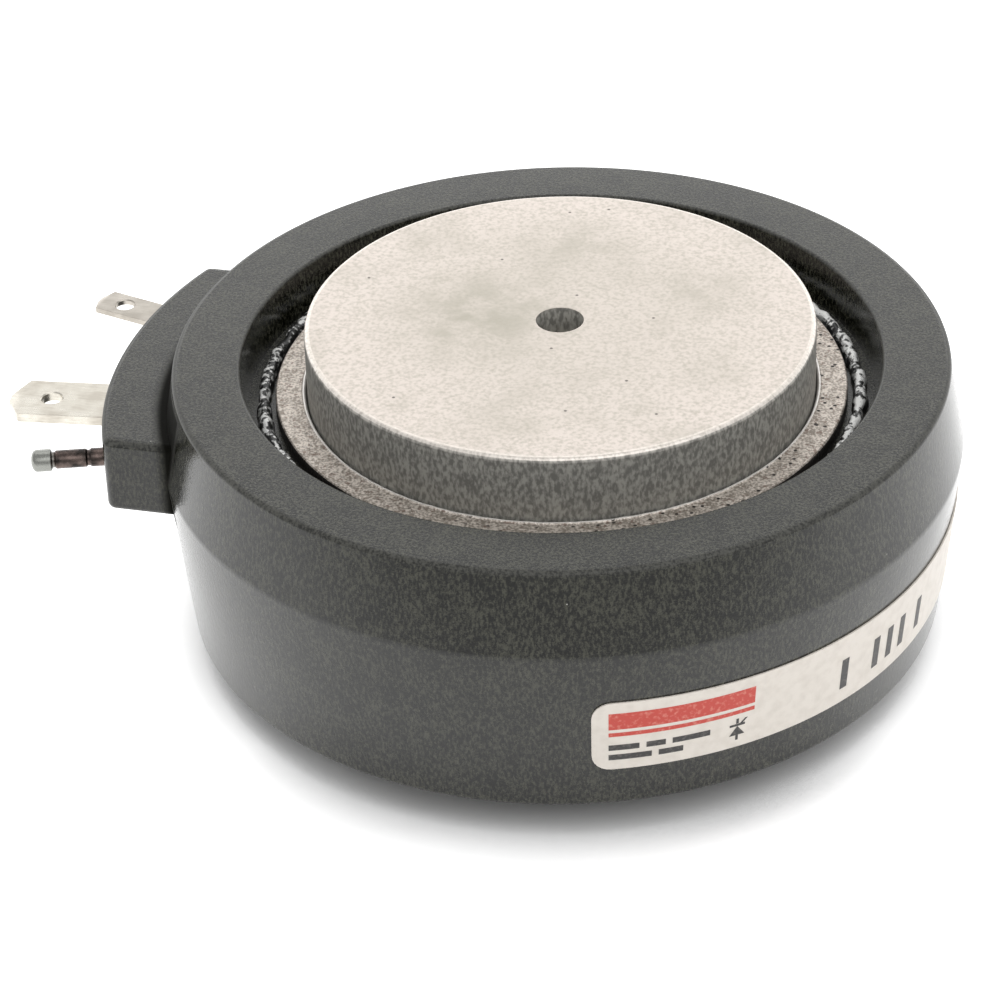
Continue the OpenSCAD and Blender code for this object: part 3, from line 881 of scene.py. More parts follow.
def lathe(section: Section, steps: int, closed: bool = True) -> bmesh.types.BMesh:
    """Spin a section about the part's axis.

    Args:
        section: Points as (radius, height).
        steps: Faces round the axis.
        closed: Whether the last point joins the first; an open section starts and ends on the axis.

    Returns:
        A closed mesh.
    """
    mesh = bmesh.new()
    points = [mesh.verts.new((radius, 0.0, height)) for radius, height in section]
    pairs = list(zip(points, points[1:]))
    if closed:
        pairs.append((points[-1], points[0]))
    edges = [mesh.edges.new(pair) for pair in pairs]
    bmesh.ops.spin(
        mesh, geom=points + edges, cent=ORIGIN, axis=UP, dvec=ORIGIN,
        angle=FULL_TURN, steps=steps, use_merge=True,
    )
    seal(mesh)
    return mesh


def soften(mesh: bmesh.types.BMesh, edges: list[bmesh.types.BMEdge], width: float, segments: int) -> None:
    """Round some edges.

    Args:
        mesh: The mesh that holds them.
        edges: The edges.
        width: Reach of the rounding on each side.
        segments: Faces across it.
    """
    bmesh.ops.bevel(
        mesh, geom=edges, offset=width, offset_type="OFFSET", segments=segments,
        profile=0.5, affect="EDGES", material=-1, clamp_overlap=True,
    )


def spread(point: Vector) -> float:
    """Distance of a point from the part's axis."""
    return math.hypot(point.x, point.y)


def ring_edges(mesh: bmesh.types.BMesh, radius: float, height: float) -> list[bmesh.types.BMEdge]:
    """Find the edges that lie on a circle about the axis.

    Args:
        mesh: The mesh to search.
        radius: Radius of the circle.
        height: Level of the circle.

    Returns:
        The edges with both ends on it.
    """
    def on_ring(vert: bmesh.types.BMVert) -> bool:
        """Whether a vertex lies on the circle."""
        return abs(spread(vert.co) - radius) < NEAR and abs(vert.co.z - height) < NEAR

    return [edge for edge in mesh.edges if all(on_ring(vert) for vert in edge.verts)]


def flip_ends(mesh: bmesh.types.BMesh, layout: Layout) -> None:
    """Turn a piece of the upper end into the matching one of the lower end."""
    for vert in mesh.verts:
        vert.co.z = layout.mirrored(vert.co.z)
    face_out(mesh)


def ripple(mesh: bmesh.types.BMesh, depth: float, size: float, shift: float) -> None:
    """Push the surface in and out by smooth noise.

    Args:
        mesh: The mesh to move.
        depth: Largest push.
        size: Size of the lumps.
        shift: Place in the noise, so that pieces differ.
    """
    mesh.normal_update()
    moves = [vert.normal * depth * noise.noise(vert.co / size + UP * shift) for vert in mesh.verts]
    for vert, move in zip(mesh.verts, moves):
        vert.co += move


def terminal_turn(degrees: float) -> Matrix:
    """Turn that carries +X onto a terminal's line, counted from the middle of the boss."""
    return Matrix.Rotation(math.pi + math.radians(degrees), 4, "Z")


def combine(base: bmesh.types.BMesh, tool: bmesh.types.BMesh, join: Join) -> bmesh.types.BMesh:
    """Join or cut one closed mesh with another; both are used up.

    Args:
        base: The mesh that is kept.
        tool: The mesh that is added or taken away.
        join: Which of the two is done.

    Returns:
        The combined mesh.
    """
    hosts = []
    for name, mesh in (("join_base", base), ("join_tool", tool)):
        data = bpy.data.meshes.new(name)
        mesh.to_mesh(data)
        mesh.free()
        host = bpy.data.objects.new(name, data)
        bpy.context.scene.collection.objects.link(host)
        hosts.append(host)
    step = hosts[0].modifiers.new("join", "BOOLEAN")
    step.operation = join.value
    step.solver = "EXACT"
    step.object = hosts[1]
    result = bmesh.new()
    result.from_object(hosts[0], bpy.context.evaluated_depsgraph_get())
    for host in hosts:
        data = host.data
        bpy.data.objects.remove(host)
        bpy.data.meshes.remove(data)
    return result


def block(low: Colour, high: Colour, turn: Matrix) -> bmesh.types.BMesh:
    """A box between two corners, then turned about the axis.

    Args:
        low: Lowest corner.
        high: Highest corner.
        turn: Turn about the part's axis.

    Returns:
        The box.
    """
    mesh = bmesh.new()
    bmesh.ops.create_cube(mesh, size=1.0)
    size = Vector(high) - Vector(low)
    bmesh.ops.scale(mesh, vec=size, verts=mesh.verts)
    bmesh.ops.translate(mesh, vec=Vector(low) + size / 2, verts=mesh.verts)
    bmesh.ops.transform(mesh, matrix=turn, verts=mesh.verts)
    return mesh


@dataclass(frozen=True)
class Terminal:
    """Sizes of a blade terminal, shared by its blade and its passage through the housing."""

    label: str
    finish: Finish
    turn: float
    width: float
    thickness: float
    tip: float
    tip_width: float
    lead_in: float
    hole_radius: float
    hole_back: float
    inner: float = 18.6 * MM
    tip_share: float = 0.5


GATE = Terminal(
    "gate", GREY_TIN, turn=-15.5, width=2.8 * MM, thickness=0.5 * MM, tip=42.0 * MM, tip_width=0.6 * MM,
    lead_in=0.5 * MM, hole_radius=0.75 * MM, hole_back=2.4 * MM,
)
CATHODE = Terminal(
    "cathode", TINNED, turn=6.0, width=4.8 * MM, thickness=0.8 * MM, tip=42.7 * MM, tip_width=1.0 * MM,
    lead_in=1.1 * MM, hole_radius=0.8 * MM, hole_back=3.3 * MM,
)


@dataclass(frozen=True)
class Role:
    """What a piece is called, its finish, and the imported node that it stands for."""

    name: str
    slot: str
    finish: Finish
    node: Optional[str] = None


@dataclass
class Piece:
    """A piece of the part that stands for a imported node, or lies on one."""

    layout: Layout

    crease: ClassVar[float] = math.radians(32)

    def role(self) -> Role:
        """Say what the piece is."""
        raise NotImplementedError

    def shape(self) -> bmesh.types.BMesh:
        """Model the piece in its place."""
        raise NotImplementedError

    def build(self) -> bpy.types.Object:
        """Model the piece, dress it and tie it to the part.

        Returns:
            The finished object.
        """
        role = self.role()
        mesh = self.shape()
        data = bpy.data.meshes.new(role.name)
        mesh.to_mesh(data)
        mesh.free()
        data.polygons.foreach_set("use_smooth", [True] * len(data.polygons))
        data.set_sharp_from_angle(angle=self.crease)
        data.materials.append(role.finish.material())
        piece = bpy.data.objects.new(role.name, data)
        bpy.context.scene.collection.objects.link(piece)
        even = piece.modifiers.new("even_normals", "WEIGHTED_NORMAL")
        even.keep_sharp = True
        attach(piece, "root")
        if role.node is not None:
            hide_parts(role.node)
        return piece


@dataclass
class Housing(Piece):
    """Moulded ring with a recess at each end, a parting ridge and the terminal boss."""

    boss_half_width: float = 13.2 * MM
    boss_height: float = 6.1 * MM
    boss_round: float = 0.7 * MM
    mouth_round: float = 0.22 * MM
    ridge_round: float = 0.10 * MM
    boss_segments: int = 5
    bore_sides: int = 32
    steps: int = 288
    boss_steps: int = 46

    def role(self) -> Role:
        """Say what the piece is."""
        return Role("moulded_housing", "moulding", MOULDING, "housing")

    def ring(self) -> bmesh.types.BMesh:
        """Spin the ring's section and round its edges.

        Returns:
            The ring without its boss.
        """
        lay = self.layout
        low_seat = lay.mirrored(lay.high_seat)
        ridge_low = lay.terminal_level - lay.ridge_land / 2
        ridge_high = lay.terminal_level + lay.ridge_land / 2
        foot_edge = lay.wall_radius(lay.foot)
        rim_edge = lay.wall_radius(lay.rim_top)
        mesh = lathe([
            (lay.bore_radius, low_seat), (lay.recess_floor_radius, low_seat),
            (lay.recess_radius, lay.foot), (foot_edge, lay.foot),
            (lay.ridge_radius, ridge_low), (lay.ridge_radius, ridge_high),
            (rim_edge, lay.rim_top), (lay.recess_radius, lay.rim_top),
            (lay.recess_floor_radius, lay.high_seat), (lay.bore_radius, lay.high_seat),
        ], self.steps)
        rounds = (
            (foot_edge, lay.foot, lay.rim_round, 4), (rim_edge, lay.rim_top, lay.rim_round, 4),
            (lay.recess_radius, lay.foot, self.mouth_round, 3),
            (lay.recess_radius, lay.rim_top, self.mouth_round, 3),
            (lay.ridge_radius, ridge_low, self.ridge_round, 2),
            (lay.ridge_radius, ridge_high, self.ridge_round, 2),
        )
        for radius, height, width, segments in rounds:
            soften(mesh, ring_edges(mesh, radius, height), width, segments)
        return mesh

    def boss(self) -> bmesh.types.BMesh:
        """Spin the boss's section, square its sides, close its ends and round it.

        Returns:
            The boss, with its root inside the ring's wall.
        """
        lay = self.layout
        root = 0.5 * (lay.recess_radius + lay.rim_radius)
        low = lay.terminal_level - self.boss_height / 2
        high = lay.terminal_level + self.boss_height / 2
        outer_half = math.asin(self.boss_half_width / lay.boss_radius)
        root_half = math.asin(self.boss_half_width / root)
        mesh = bmesh.new()
        corners = ((root, low), (lay.boss_radius, low), (lay.boss_radius, high), (root, high))
        points = [mesh.verts.new((radius, 0.0, height)) for radius, height in corners]
        edges = [mesh.edges.new((points[k], points[(k + 1) % 4])) for k in range(4)]
        bmesh.ops.spin(
            mesh, geom=points + edges, cent=ORIGIN, axis=UP, dvec=ORIGIN,
            angle=2.0 * outer_half, steps=self.boss_steps, use_merge=False,
        )
        bmesh.ops.holes_fill(mesh, edges=[edge for edge in mesh.edges if edge.is_boundary], sides=0)
        for vert in mesh.verts:
            reach = spread(vert.co)
            turn = math.atan2(vert.co.y, vert.co.x) - outer_half
            if reach < lay.rim_radius:
                turn *= root_half / outer_half
            vert.co = (-reach * math.cos(turn), -reach * math.sin(turn), vert.co.z)
        seal(mesh)
        rounded = [edge for edge in mesh.edges if self.is_outer(edge, lay.boss_radius)]
        soften(mesh, rounded, self.boss_round, self.boss_segments)
        return mesh

    @staticmethod
    def is_outer(edge: bmesh.types.BMEdge, radius: float) -> bool:
        """Whether a sharp edge of the boss reaches its outer wall."""
        reaches = any(abs(spread(vert.co) - radius) < NEAR for vert in edge.verts)
        return reaches and edge.calc_face_angle(0.0) > SHARP_CORNER

    def shape(self) -> bmesh.types.BMesh:
        """Join ring and boss, then cut the passages of blades and tube.

        Returns:
            The housing.
        """
        lay = self.layout
        mesh = combine(self.ring(), self.boss(), Join.UNION)
        inner = lay.bore_radius - MM
        outer = lay.boss_radius + MM
        for terminal in (GATE, CATHODE):
            half = terminal.width / 2 + lay.bond_gap
            rise = terminal.thickness / 2 + lay.bond_gap
            low = (inner, -half, lay.terminal_level - rise)
            high = (outer, half, lay.terminal_level + rise)
            mesh = combine(mesh, block(low, high, terminal_turn(terminal.turn)), Join.DIFFERENCE)
        bore = bmesh.new()
        along = Matrix.Rotation(math.pi / 2, 4, "Y")
        middle = Matrix.Translation(((inner + outer) / 2, 0.0, lay.terminal_level))
        radius = TUBE_RADIUS + lay.bond_gap
        bmesh.ops.create_cone(
            bore, cap_ends=True, segments=self.bore_sides, radius1=radius, radius2=radius,
            depth=outer - inner, matrix=terminal_turn(TUBE_TURN) @ middle @ along,
        )
        return combine(mesh, bore, Join.DIFFERENCE)


@dataclass
class Pole(Piece):
    """Turned contact pole with its centring hole; the upper one is pocketed for the gate contact."""

    end: End = End.CATHODE
    edge_round: float = 0.40 * MM
    hole_depth: float = 2.2 * MM
    hole_round: float = 0.12 * MM
    drill_angle: float = math.radians(118.0)
    pocket_radius: float = 3.5 * MM
    pocket_roof: float = 2.0 * MM
    shoulder_thickness: float = 1.6 * MM
    slot_half_width: float = 0.90 * MM
    slot_top: float = 16.83 * MM
    slot_overrun: float = 0.5 * MM
    steps: int = 240

    def role(self) -> Role:
        """Say what the piece is, by its end."""
        end = self.end.value
        return Role(f"{end}_contact_pole", "plated_copper", PLATED, f"{end}_pole")

    def shape(self) -> bmesh.types.BMesh:
        """Spin the pole, round its edges and cut the gate's slot.

        Returns:
            The pole at its own end.
        """
        lay = self.layout
        upper = self.end is End.CATHODE
        inner = lay.cathode_inner if upper else lay.mirrored(lay.anode_inner)
        shoulder = lay.cathode_shoulder if upper else lay.high_seat - self.shoulder_thickness
        hole_floor = lay.upper_face - self.hole_depth
        hole_point = hole_floor - lay.hole_radius / math.tan(self.drill_angle / 2)
        pocket_top = hole_point - self.pocket_roof
        under = [(0.0, pocket_top), (self.pocket_radius, pocket_top), (self.pocket_radius, inner)]
        section = (under if upper else [(0.0, inner)]) + [
            (lay.stem_radius, inner), (lay.stem_radius, shoulder), (lay.shoulder_radius, shoulder),
            (lay.shoulder_radius, lay.high_seat), (lay.pole_radius, lay.high_seat),
            (lay.pole_radius, lay.upper_face), (lay.hole_radius, lay.upper_face),
            (lay.hole_radius, hole_floor), (0.0, hole_point),
        ]
        mesh = lathe(section, self.steps, closed=False)
        soften(mesh, ring_edges(mesh, lay.pole_radius, lay.upper_face), self.edge_round, 3)
        soften(mesh, ring_edges(mesh, lay.hole_radius, lay.upper_face), self.hole_round, 2)
        if upper:
            low = (0.0, -self.slot_half_width, inner - MM)
            high = (lay.stem_radius + self.slot_overrun, self.slot_half_width, self.slot_top)
            mesh = combine(mesh, block(low, high, terminal_turn(GATE.turn)), Join.DIFFERENCE)
        else:
            flip_ends(mesh, lay)
        return mesh


@dataclass
class Flange(Piece):
    """Flat ring that closes the bore round a pole, uneven on top, with a raised inner lip."""

    end: End = End.CATHODE
    outer_round: float = 0.25 * MM
    groove: float = 0.14 * MM
    groove_depth: float = 0.40 * MM
    lip_width: float = 0.30 * MM
    lip_height: float = 0.09 * MM
    bands: int = 6
    unevenness: float = 0.035 * MM
    lump: float = 0.8 * MM
    steps: int = 420

    def role(self) -> Role:
        """Say what the piece is, by its end."""
        end = self.end.value
        return Role(f"{end}_sealing_flange", "flange_metal", FLANGE_METAL, f"{end}_flange")

    def section(self) -> Section:
        """Section of the ring, with a groove at the pole's wall and a lip beside it.

        Returns:
            The points from the inner foot, round the outside, to the groove.
        """
        lay = self.layout
        inner = lay.pole_radius + lay.bond_gap
        lip = inner + self.groove
        lip_end = lip + self.lip_width
        width = lay.flange_radius - lip_end
        top = [(lay.flange_radius - width * k / self.bands, lay.flange_top) for k in range(self.bands + 1)]
        crest = lay.flange_top + self.lip_height
        return [(inner, lay.high_seat), (lay.flange_radius, lay.high_seat)] + top + [
            (lip_end - self.lip_width / 3, crest), (lip + self.lip_width / 3, crest),
            (lip, lay.flange_top), (inner, lay.flange_top - self.groove_depth),
        ]

    def shape(self) -> bmesh.types.BMesh:
        """Spin the ring, round its outer edge and let its top sink here and there.

        Returns:
            The flange at its own end.
        """
        lay = self.layout
        mesh = lathe(self.section(), self.steps)
        soften(mesh, ring_edges(mesh, lay.flange_radius, lay.flange_top), self.outer_round, 3)
        for vert in mesh.verts:
            if vert.co.z > lay.flange_top - NEAR:
                sink = 0.5 + 0.5 * noise.noise(vert.co / self.lump)
                vert.co.z -= 2.0 * self.unevenness * sink
        if self.end is End.ANODE:
            flip_ends(mesh, lay)
        return mesh


@dataclass
class SealBead(Piece):
    """Hand-laid bead of sealing compound that wanders and swells on the recess floor."""

    end: End = End.CATHODE
    width: float = 1.1 * MM
    height: float = 0.9 * MM
    wander: float = 0.10 * MM
    wander_size: float = 4.5 * MM
    swell: float = 0.45
    swell_size: float = 1.7 * MM
    lump_depth: float = 0.11 * MM
    lump_size: float = 0.50 * MM
    arc_points: int = 12
    steps: int = 560

    crease: ClassVar[float] = math.radians(75)

    def role(self) -> Role:
        """Say what the piece is, by its end."""
        end = self.end.value
        return Role(f"{end}_sealing_bead", "sealing_bead", SEALANT, f"{end}_seal")

    def shape(self) -> bmesh.types.BMesh:
        """Spin a half-round section, then let it wander, swell and lump.

        Returns:
            The bead at its own end.
        """
        lay = self.layout
        middle = lay.bead_radius - self.width / 2
        half = self.width / 2
        angles = [math.pi * k / self.arc_points for k in range(self.arc_points + 1)]
        section = [
            (middle + half * math.cos(angle), lay.high_seat + self.height * math.sin(angle))
            for angle in angles
        ]
        mesh = lathe(section, self.steps)
        seed = 3.0 if self.end is End.CATHODE else 11.0
        for vert in mesh.verts:
            self.wobble(vert, middle, seed)
        ripple(mesh, self.lump_depth, self.lump_size, seed)
        for vert in mesh.verts:
            vert.co.z = max(vert.co.z, lay.high_seat)
        if self.end is End.ANODE:
            flip_ends(mesh, lay)
        return mesh

    def wobble(self, vert: bmesh.types.BMVert, middle: float, seed: float) -> None:
        """Shift and swell the bead's section at a vertex.

        Args:
            vert: The vertex to move.
            middle: Radius of the bead's middle line.
            seed: Place in the noise.
        """
        reach = spread(vert.co)
        along = Vector((vert.co.x, vert.co.y, 0.0)).normalized() * middle
        drift = self.wander * noise.noise(along / self.wander_size + UP * seed)
        scale = 1.0 + self.swell * noise.noise(along / self.swell_size + UP * (seed + 5.0))
        across = scale if reach > middle else min(scale, 1.0)
        radius = middle + drift + (reach - middle) * across
        vert.co.x *= radius / reach
        vert.co.y *= radius / reach
        vert.co.z = self.layout.high_seat + (vert.co.z - self.layout.high_seat) * scale


@dataclass
class Blade(Piece):
    """Flat blade terminal with a tip that narrows and thins, and a round hole."""

    terminal: Terminal = CATHODE
    hole_round: float = 0.08 * MM
    hole_sides: int = 48
    edge_round: float = 0.06 * MM
    punch_overrun: float = 0.2 * MM

    def role(self) -> Role:
        """Say what the piece is, by its terminal."""
        label = self.terminal.label
        return Role(f"{label}_blade", "tinned_brass", self.terminal.finish, f"{label}_tab")

    def shape(self) -> bmesh.types.BMesh:
        """Extrude the plan, thin the tip, round the edges and punch the hole.

        Returns:
            The blade on its terminal's line.
        """
        blade = self.terminal
        level = self.layout.terminal_level
        shoulder = blade.tip - blade.lead_in
        stations = ((blade.inner, blade.width), (shoulder, blade.width), (blade.tip, blade.tip_width))
        mesh = bmesh.new()
        rows = [
            [mesh.verts.new((reach, side * width / 2, level - blade.thickness / 2)) for side in (-1, 1)]
            for reach, width in stations
        ]
        plan = [mesh.faces.new((*near, *reversed(far))) for near, far in zip(rows, rows[1:])]
        grown = bmesh.ops.extrude_face_region(mesh, geom=plan)["geom"]
        raised = [item for item in grown if isinstance(item, bmesh.types.BMVert)]
        bmesh.ops.translate(mesh, vec=UP * blade.thickness, verts=raised)
        tips = [vert for vert in mesh.verts if vert.co.x > shoulder + NEAR]
        thin = (1.0, 1.0, blade.tip_share)
        bmesh.ops.scale(mesh, vec=thin, space=Matrix.Translation(UP * -level), verts=tips)
        seal(mesh)
        sharp = [edge for edge in mesh.edges if edge.calc_face_angle(0.0) > self.crease]
        soften(mesh, sharp, self.edge_round, 2)
        mesh = combine(mesh, self.punch(), Join.DIFFERENCE)
        bmesh.ops.transform(mesh, matrix=terminal_turn(blade.turn), verts=mesh.verts)
        return mesh

    def punch(self) -> bmesh.types.BMesh:
        """A waisted pin that cuts the hole with softened rims.

        Returns:
            The cutter, at the hole's place on the unturned blade.
        """
        blade = self.terminal
        low = self.layout.terminal_level - blade.thickness / 2
        high = self.layout.terminal_level + blade.thickness / 2
        wide = blade.hole_radius + self.hole_round
        reach = self.punch_overrun
        section = [
            (0.0, low - reach), (wide + reach, low - reach), (wide, low),
            (blade.hole_radius, low + self.hole_round), (blade.hole_radius, high - self.hole_round),
            (wide, high), (wide + reach, high + reach), (0.0, high + reach),
        ]
        mesh = lathe(section, self.hole_sides, closed=False)
        bmesh.ops.translate(mesh, vec=(blade.tip - blade.hole_back, 0.0, 0.0), verts=mesh.verts)
        return mesh


@dataclass
class VentTube(Piece):
    """Small copper tube, swaged behind its collar and closed by a thick dipped end."""

    end: float = 40.0 * MM
    bore: float = 0.35 * MM
    waist: float = 0.60 * MM
    tip_radius: float = 0.85 * MM
    tip_length: float = 1.5 * MM
    dome_angles: tuple[float, ...] = (0, 22, 45, 67)
    collar_length: float = 1.1 * MM
    fold: float = 0.14 * MM
    steps: int = 40

    def role(self) -> Role:
        """Say what the piece is."""
        return Role("sealed_vent_tube", "tube_copper", TUBE, "vent_tube")

    def shape(self) -> bmesh.types.BMesh:
        """Spin the tube along the axis, narrow it at its waists and lay it on its line.

        Returns:
            The tube, leaving the boss.
        """
        lay = self.layout
        neck = self.end - self.tip_length
        collar = lay.boss_radius + self.collar_length
        dome = self.tip_radius / 2
        rounds = [math.radians(angle) for angle in self.dome_angles]
        section = [
            (0.0, neck), (self.bore, neck - self.fold), (self.bore, lay.bore_radius),
            (TUBE_RADIUS, lay.bore_radius), (TUBE_RADIUS, collar - self.fold),
            (self.waist, collar), (self.waist, collar + self.fold), (TUBE_RADIUS, collar + 2 * self.fold),
            (TUBE_RADIUS, neck - 3 * self.fold), (self.waist, neck - 2 * self.fold),
            (self.waist, neck - self.fold), (self.tip_radius, neck),
        ]
        section += [
            (self.tip_radius * math.cos(angle), self.end - dome + dome * math.sin(angle)) for angle in rounds
        ]
        section.append((0.0, self.end))
        mesh = lathe(section, self.steps, closed=False)
        along = Matrix.Rotation(math.pi / 2, 4, "Y")
        lift = Matrix.Translation(UP * lay.terminal_level)
        bmesh.ops.transform(mesh, matrix=lift @ terminal_turn(TUBE_TURN) @ along, verts=mesh.verts)
        return mesh


@dataclass
class WrapLabel(Piece):
    """Thin film with round corners, stuck round the lower wall."""

    start: float = math.radians(-73.5)
    span: float = math.radians(112.0)
    thickness: float = 0.12 * MM
    corner: float = 1.4 * MM
    corner_segments: int = 6
    strip: float = 0.8 * MM

    def role(self) -> Role:
        """Say what the piece is."""
        return Role("wrap_label", "label_film", FILM, "label")

    @property
    def middle_radius(self) -> float:
        """Radius of the wall behind the label's middle line."""
        return self.layout.wall_radius(0.5 * (self.layout.label_low + self.layout.label_high))

    @property
    def length(self) -> float:
        """Length of the label along its middle line."""
        return self.span * self.middle_radius

    def sheet(self, outline: Iterable[tuple[float, float]], corner: float = 0.0) -> bmesh.types.BMesh:
        """Lay a flat outline out in strips that can bend.

        Args:
            outline: Corners as (length along the label, height).
            corner: Radius of the corners.

        Returns:
            The flat sheet in the XZ plane.
        """
        mesh = bmesh.new()
        mesh.faces.new([mesh.verts.new((along, 0.0, height)) for along, height in outline])
        if corner > 0.0:
            bmesh.ops.bevel(
                mesh, geom=list(mesh.verts), offset=corner, offset_type="OFFSET",
                segments=self.corner_segments, profile=0.5, affect="VERTICES", material=-1,
                clamp_overlap=True,
            )
        first = min(vert.co.x for vert in mesh.verts)
        last = max(vert.co.x for vert in mesh.verts)
        cuts = int((last - first) / self.strip)
        for k in range(1, cuts + 1):
            everything = list(mesh.verts) + list(mesh.edges) + list(mesh.faces)
            bmesh.ops.bisect_plane(
                mesh, geom=everything, dist=NEAR / 4,
                plane_co=(first + (last - first) * k / (cuts + 1), 0.0, 0.0), plane_no=(1.0, 0.0, 0.0),
            )
        return mesh

    def wrap(self, mesh: bmesh.types.BMesh, inner: float, thickness: float) -> None:
        """Thicken a flat sheet and bend it round the lower wall.

        Args:
            mesh: The flat sheet.
            inner: Gap between the wall and the sheet's back.
            thickness: Thickness of the sheet.
        """
        grown = bmesh.ops.extrude_face_region(mesh, geom=list(mesh.faces))["geom"]
        front = [item for item in grown if isinstance(item, bmesh.types.BMVert)]
        bmesh.ops.translate(mesh, vec=(0.0, thickness, 0.0), verts=front)
        for vert in mesh.verts:
            angle = self.start + vert.co.x / self.middle_radius
            reach = self.layout.wall_radius(vert.co.z) + inner + vert.co.y
            vert.co = (reach * math.cos(angle), reach * math.sin(angle), vert.co.z)
        face_out(mesh)

    def shape(self) -> bmesh.types.BMesh:
        """Cut the film, round its corners and wrap it.

        Returns:
            The label on the wall.
        """
        low, high = self.layout.label_low, self.layout.label_high
        mesh = self.sheet([(0.0, low), (self.length, low), (self.length, high), (0.0, high)], self.corner)
        self.wrap(mesh, self.layout.bond_gap, self.thickness)
        return mesh


@dataclass
class LabelPrint(WrapLabel):
    """Plain bars and a circuit symbol printed on the label, all in one ink."""

    ink: Ink = RED_INK
    lift: float = 0.006 * MM
    film: float = 0.012 * MM
    margin: float = 1.2 * MM
    bar_height: float = 0.5 * MM
    bar_gap: float = 0.5 * MM

    red_bars: ClassVar[tuple[Range, ...]] = ((0.95 * MM, 1.5 * MM), (2.75 * MM, 0.35 * MM))
    red_width: ClassVar[float] = 10.8 * MM
    rows: ClassVar[tuple[tuple[float, tuple[float, ...]], ...]] = (
        (3.9 * MM, (2.2 * MM, 1.4 * MM, 2.8 * MM)),
        (4.8 * MM, (3.1 * MM, 1.8 * MM)),
    )
    upright: ClassVar[tuple[float, ...]] = (19.8 * MM, 23.3 * MM, 25.0 * MM, 26.7 * MM, 29.3 * MM)
    upright_top: ClassVar[float] = 2.2 * MM
    upright_size: ClassVar[Range] = (0.7 * MM, 2.7 * MM)
    symbol_place: ClassVar[Colour] = (10.7 * MM, 4.55 * MM, 2.0 * MM)

    def role(self) -> Role:
        """Say what the print is, by its ink."""
        return Role(f"label_print_{self.ink.name}", "label_film", self.ink)

    def bar(self, left: float, top: float, width: float, height: float) -> Section:
        """Corners of a bar, placed from the label's upper first corner.

        Args:
            left: Distance from the label's first end.
            top: Distance below the label's upper edge.
            width: Length along the label.
            height: Height of the bar.

        Returns:
            The four corners.
        """
        high = self.layout.label_high - top
        return [
            (left, high - height), (left + width, high - height), (left + width, high), (left, high),
        ]

    def red_marks(self) -> list[Section]:
        """A broad band over a thin line, at the label's first end."""
        return [self.bar(self.margin, top, self.red_width, height) for top, height in self.red_bars]

    def dark_marks(self) -> list[Section]:
        """Rows of short bars, a row of upright bars, and the symbol of a controlled rectifier."""
        marks = [self.bar(left, self.upright_top, *self.upright_size) for left in self.upright]
        for top, widths in self.rows:
            left = self.margin
            for width in widths:
                marks.append(self.bar(left, top, width, self.bar_height))
                left += width + self.bar_gap
        return marks + self.symbol(*self.symbol_place)

    def symbol(self, middle: float, top: float, size: float) -> list[Section]:
        """An upright triangle under a bar, with a slanted gate line.

        Args:
            middle: Distance of the symbol's upright line from the label's first end.
            top: Distance of the symbol's middle below the label's upper edge.
            size: Height of the symbol.

        Returns:
            The outlines of its strokes.
        """
        line = 0.10 * size
        half = 0.30 * size
        plate_top = top - 0.26 * size
        point = self.layout.label_high - plate_top - line
        base = point - 0.42 * size
        triangle = [(middle - half, base), (middle + half, base), (middle, point)]
        gate = [
            (middle + line, point + line), (middle + 2 * line, point + line),
            (middle + 4 * line, point + 3 * line), (middle + 3 * line, point + 3 * line),
        ]
        strokes = [
            self.bar(middle - half, plate_top, 2 * half, line),
            self.bar(middle - line / 2, plate_top - 0.24 * size, line, 0.22 * size),
            self.bar(middle - line / 2, plate_top + line + 0.43 * size, line, 0.22 * size),
        ]
        return [triangle, gate] + strokes

    def shape(self) -> bmesh.types.BMesh:
        """Lay each mark on the film and wrap them all.

        Returns:
            The print on the label.
        """
        marks = self.red_marks() if self.ink is RED_INK else self.dark_marks()
        whole = bmesh.new()
        for outline in marks:
            mark = self.sheet(outline)
            self.wrap(mark, self.layout.bond_gap + self.thickness + self.lift, self.film)
            data = bpy.data.meshes.new("mark")
            mark.to_mesh(data)
            mark.free()
            whole.from_mesh(data)
            bpy.data.meshes.remove(data)
        return whole


@dataclass(frozen=True)
class SoftBox:
    """A large soft lamp that looks at the part, placed ahead of it, to its right and above it."""

    name: str
    ahead: float
    aside: float
    above: float
    width: float
    height: float
    watts: float

    def build(self, front: Vector, right: Vector, aim: Vector) -> None:
        """Hang the lamp.

        Args:
            front: Level direction from the part towards the camera.
            right: Level direction to the right of the picture.
            aim: Point that the lamp looks at.
        """
        data = bpy.data.lights.new(self.name, "AREA")
        data.shape = "RECTANGLE"
        data.size = self.width
        data.size_y = self.height
        data.energy = self.watts
        lamp = bpy.data.objects.new(self.name, data)
        lamp.location = front * self.ahead + right * self.aside + UP * self.above
        lamp.rotation_euler = (aim - lamp.location).to_track_quat("-Z", "Y").to_euler()
        bpy.context.scene.collection.objects.link(lamp)


LAMPS = (
    SoftBox("top_softbox", ahead=-0.40, aside=0.0, above=0.75, width=1.0, height=0.5, watts=1.6),
    SoftBox("key_softbox", ahead=0.50, aside=0.20, above=0.60, width=1.2, height=0.5, watts=2.2),
)


